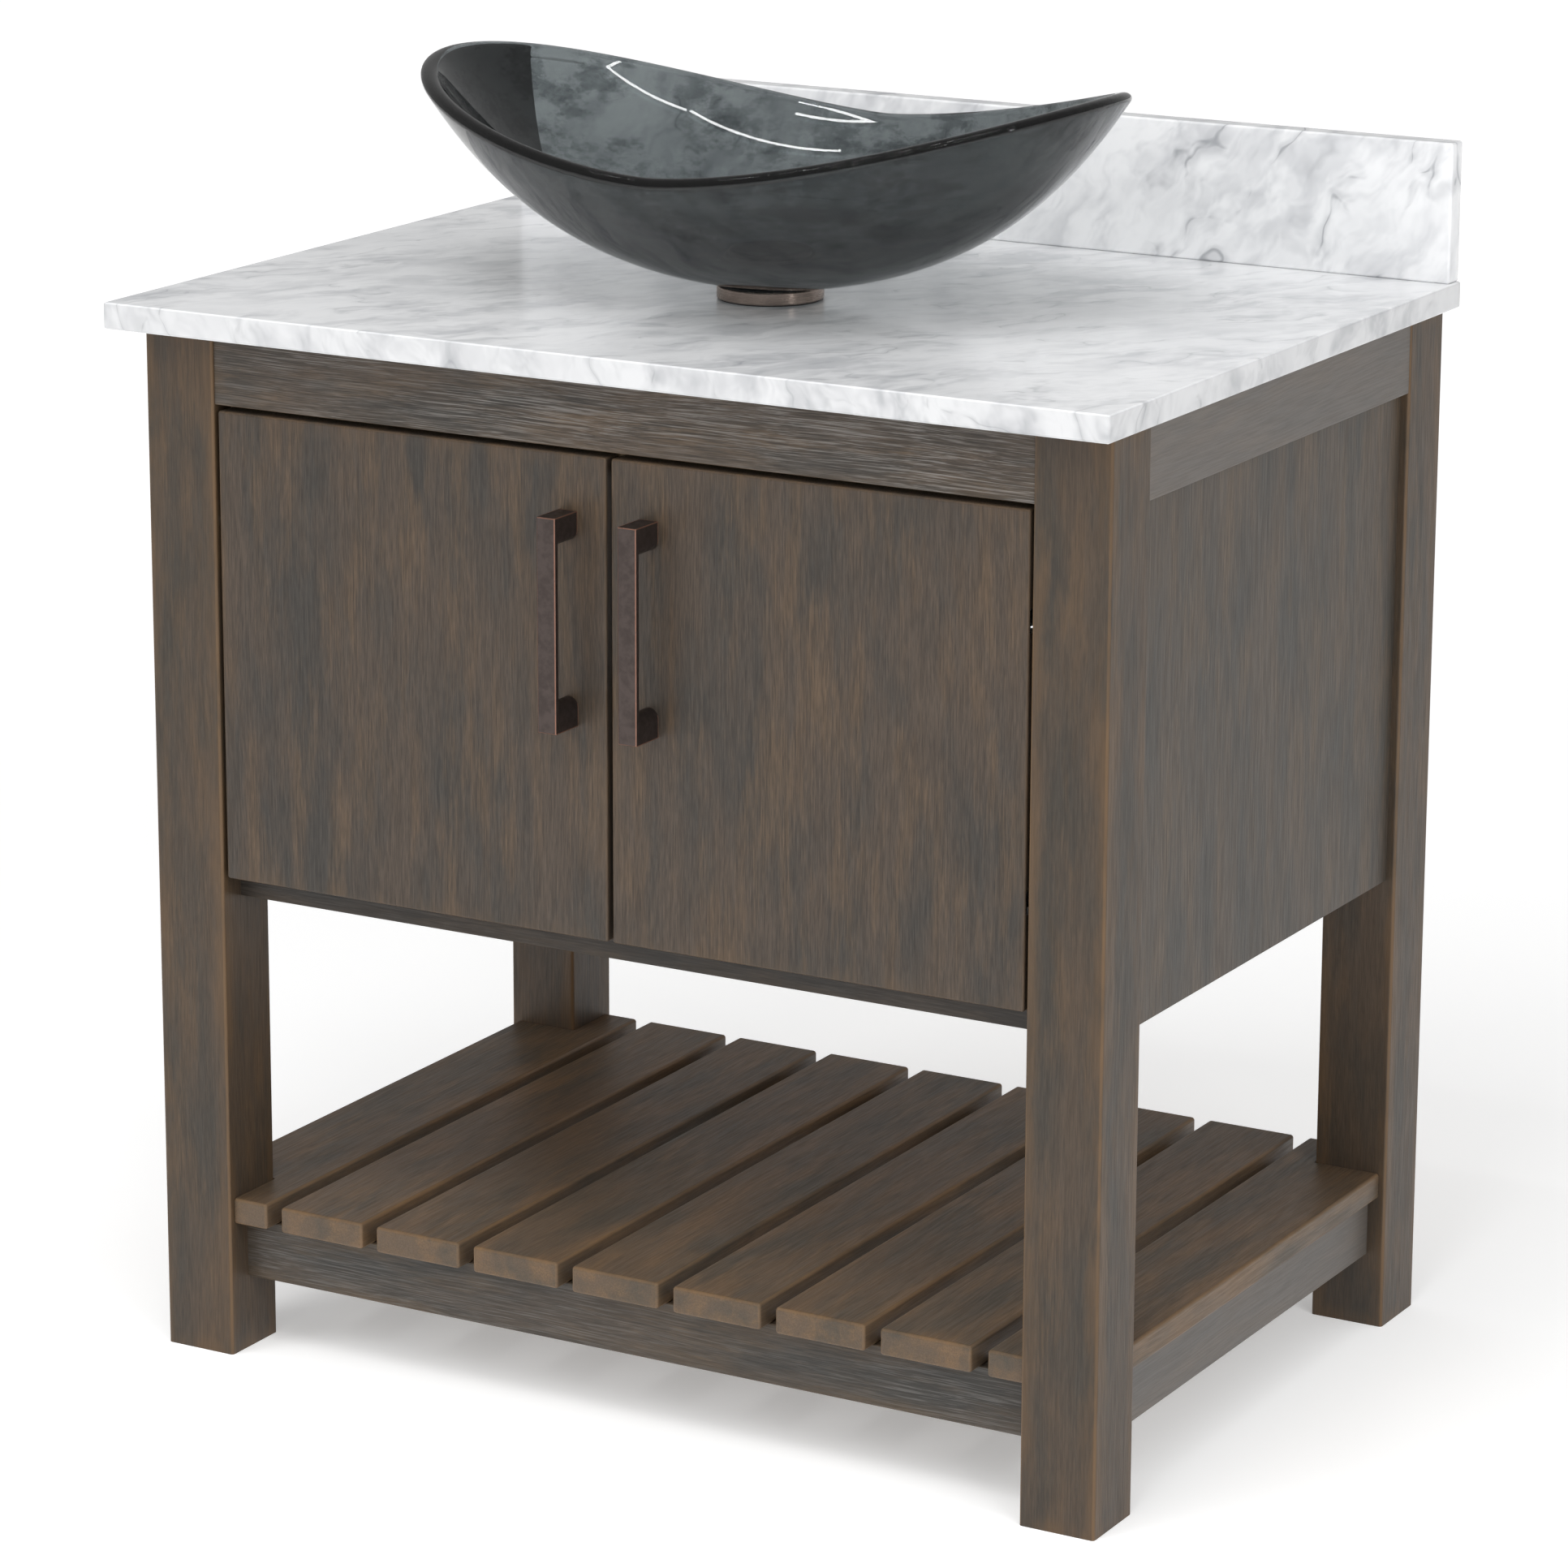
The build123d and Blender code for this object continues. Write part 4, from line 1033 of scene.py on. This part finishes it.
class VANITY_OT_frame(bpy.types.Operator):
    """Finishes the legs, rails and side panels as stained wood"""

    bl_idname = "vanity.frame"
    bl_label = "Wooden frame"

    def execute(self, context):
        for names, name, turn, grain_share, look in FRAME_WOODS:
            finish_nodes(names, stained_wood(name, turn, grain_share, **look))
        return {"FINISHED"}


class VANITY_OT_doors(bpy.types.Operator):
    """Finishes the two doors as stained veneer"""

    bl_idname = "vanity.doors"
    bl_label = "Doors"

    def execute(self, context):
        finish_nodes(DOORS, stained_wood("Stained wood doors", "upright", 1.0, wear=0.3,
                                         tone=(0.95, 0.92, 0.90)))
        return {"FINISHED"}


class VANITY_OT_shelf(bpy.types.Operator):
    """Finishes the nine shelf slats as stained wood"""

    bl_idname = "vanity.shelf"
    bl_label = "Shelf slats"

    def execute(self, context):
        # Painted light: the slats' tone of 1.70, 1.55, 1.34 brightens them well above the other
        # wood, standing in for the strong light on the shelf.
        finish_nodes(SLATS, stained_wood("Stained wood slats", "deep", 0.55, wear=0.3,
                                         tone=(1.70, 1.55, 1.34)))
        return {"FINISHED"}


class VANITY_OT_inside(bpy.types.Operator):
    """Finishes the boards inside the cabinet as plain wood"""

    bl_idname = "vanity.inside"
    bl_label = "Inside boards"

    def execute(self, context):
        finish_nodes(INNER_BOARDS, inner_board(context.scene.vanity_wood))
        return {"FINISHED"}


class VANITY_OT_handles(bpy.types.Operator):
    """Finishes the two bar handles as oil-rubbed bronze"""

    bl_idname = "vanity.handles"
    bl_label = "Handles"

    def execute(self, context):
        finish_nodes(HANDLES, rubbed_bronze(context.scene.vanity_metal))
        return {"FINISHED"}


class VANITY_OT_waste_fitting(bpy.types.Operator):
    """Finishes the ring, the drain and their seals"""

    bl_idname = "vanity.waste_fitting"
    bl_label = "Ring and drain"

    def execute(self, context):
        metal = context.scene.vanity_metal
        finish_nodes(("mounting_ring",), brushed_bronze("Brushed ring bronze", metal.ring, 0.20))
        finish_nodes(DRAIN_PARTS, brushed_bronze("Dark drain bronze", metal.bronze, 0.30))
        finish_nodes(SEALS, seal_rubber())
        return {"FINISHED"}


class VANITY_OT_hinges(bpy.types.Operator):
    """Finishes the hinges, screws and door bumpers"""

    bl_idname = "vanity.hinges"
    bl_label = "Hinges and bumpers"

    def execute(self, context):
        nickel = context.scene.vanity_metal.nickel
        finish_nodes(STEEL_PARTS, plated_steel("Nickel plated steel", nickel))
        # Painted shade: the hinge pins and arms get a fifth of the nickel colour, dimming their
        # glint in the door gap.
        finish_nodes(SHADE_PAINTED_STEEL, plated_steel("Darkened steel", [part * 0.2 for part in nickel]))
        finish_nodes(("door_bumpers",), clear_pad())
        return {"FINISHED"}


class VANITY_OT_stage(bpy.types.Operator):
    """Adds the pale floor, the soft studio light and the camera"""

    bl_idname = "vanity.stage"
    bl_label = "Stage"

    def execute(self, context):
        stage = context.scene.vanity_stage
        make_camera(stage)
        make_floor(stage.floor)
        make_world(stage)
        make_dark_card()
        for *placing, power in SOFT_LIGHTS:
            soft_light(*placing, getattr(stage, power))
        for *placing, power in STRIP_LIGHTS:
            strip_light(*placing, getattr(stage, power))
        for name, start, end in CEILING_TUBES:
            ceiling_tube(name, start, end, stage.tube)
        context.scene.view_settings.view_transform = "Standard"
        return {"FINISHED"}


OPERATORS = (
    VANITY_OT_stage,
    VANITY_OT_glass_bowl,
    VANITY_OT_marble,
    VANITY_OT_frame,
    VANITY_OT_doors,
    VANITY_OT_shelf,
    VANITY_OT_inside,
    VANITY_OT_handles,
    VANITY_OT_waste_fitting,
    VANITY_OT_hinges,
)
SETTINGS = {
    "vanity_bowl": BowlSettings,
    "vanity_marble": MarbleSettings,
    "vanity_wood": WoodSettings,
    "vanity_metal": MetalSettings,
    "vanity_stage": StageSettings,
}


class VANITY_PT_sidebar(bpy.types.Panel):
    """Lists the pieces of the vanity"""

    bl_idname = "VANITY_PT_sidebar"
    bl_label = "Vanity"
    bl_space_type = "VIEW_3D"
    bl_region_type = "UI"
    bl_category = "Vanity"

    def draw(self, context):
        column = self.layout.column()
        for operator in OPERATORS:
            column.operator(operator.bl_idname)


def register():
    for settings in SETTINGS.values():
        bpy.utils.register_class(settings)
    for name, settings in SETTINGS.items():
        setattr(bpy.types.Scene, name, PointerProperty(type=settings))
    for operator in OPERATORS:
        bpy.utils.register_class(operator)
    bpy.utils.register_class(VANITY_PT_sidebar)


def unregister():
    bpy.utils.unregister_class(VANITY_PT_sidebar)
    for operator in reversed(OPERATORS):
        bpy.utils.unregister_class(operator)
    for name in SETTINGS:
        delattr(bpy.types.Scene, name)
    for settings in SETTINGS.values():
        bpy.utils.unregister_class(settings)


def main():
    register()
    for operator in OPERATORS:
        group, name = operator.bl_idname.split(".")
        getattr(getattr(bpy.ops, group), name)()


if __name__ == "__main__":
    main()
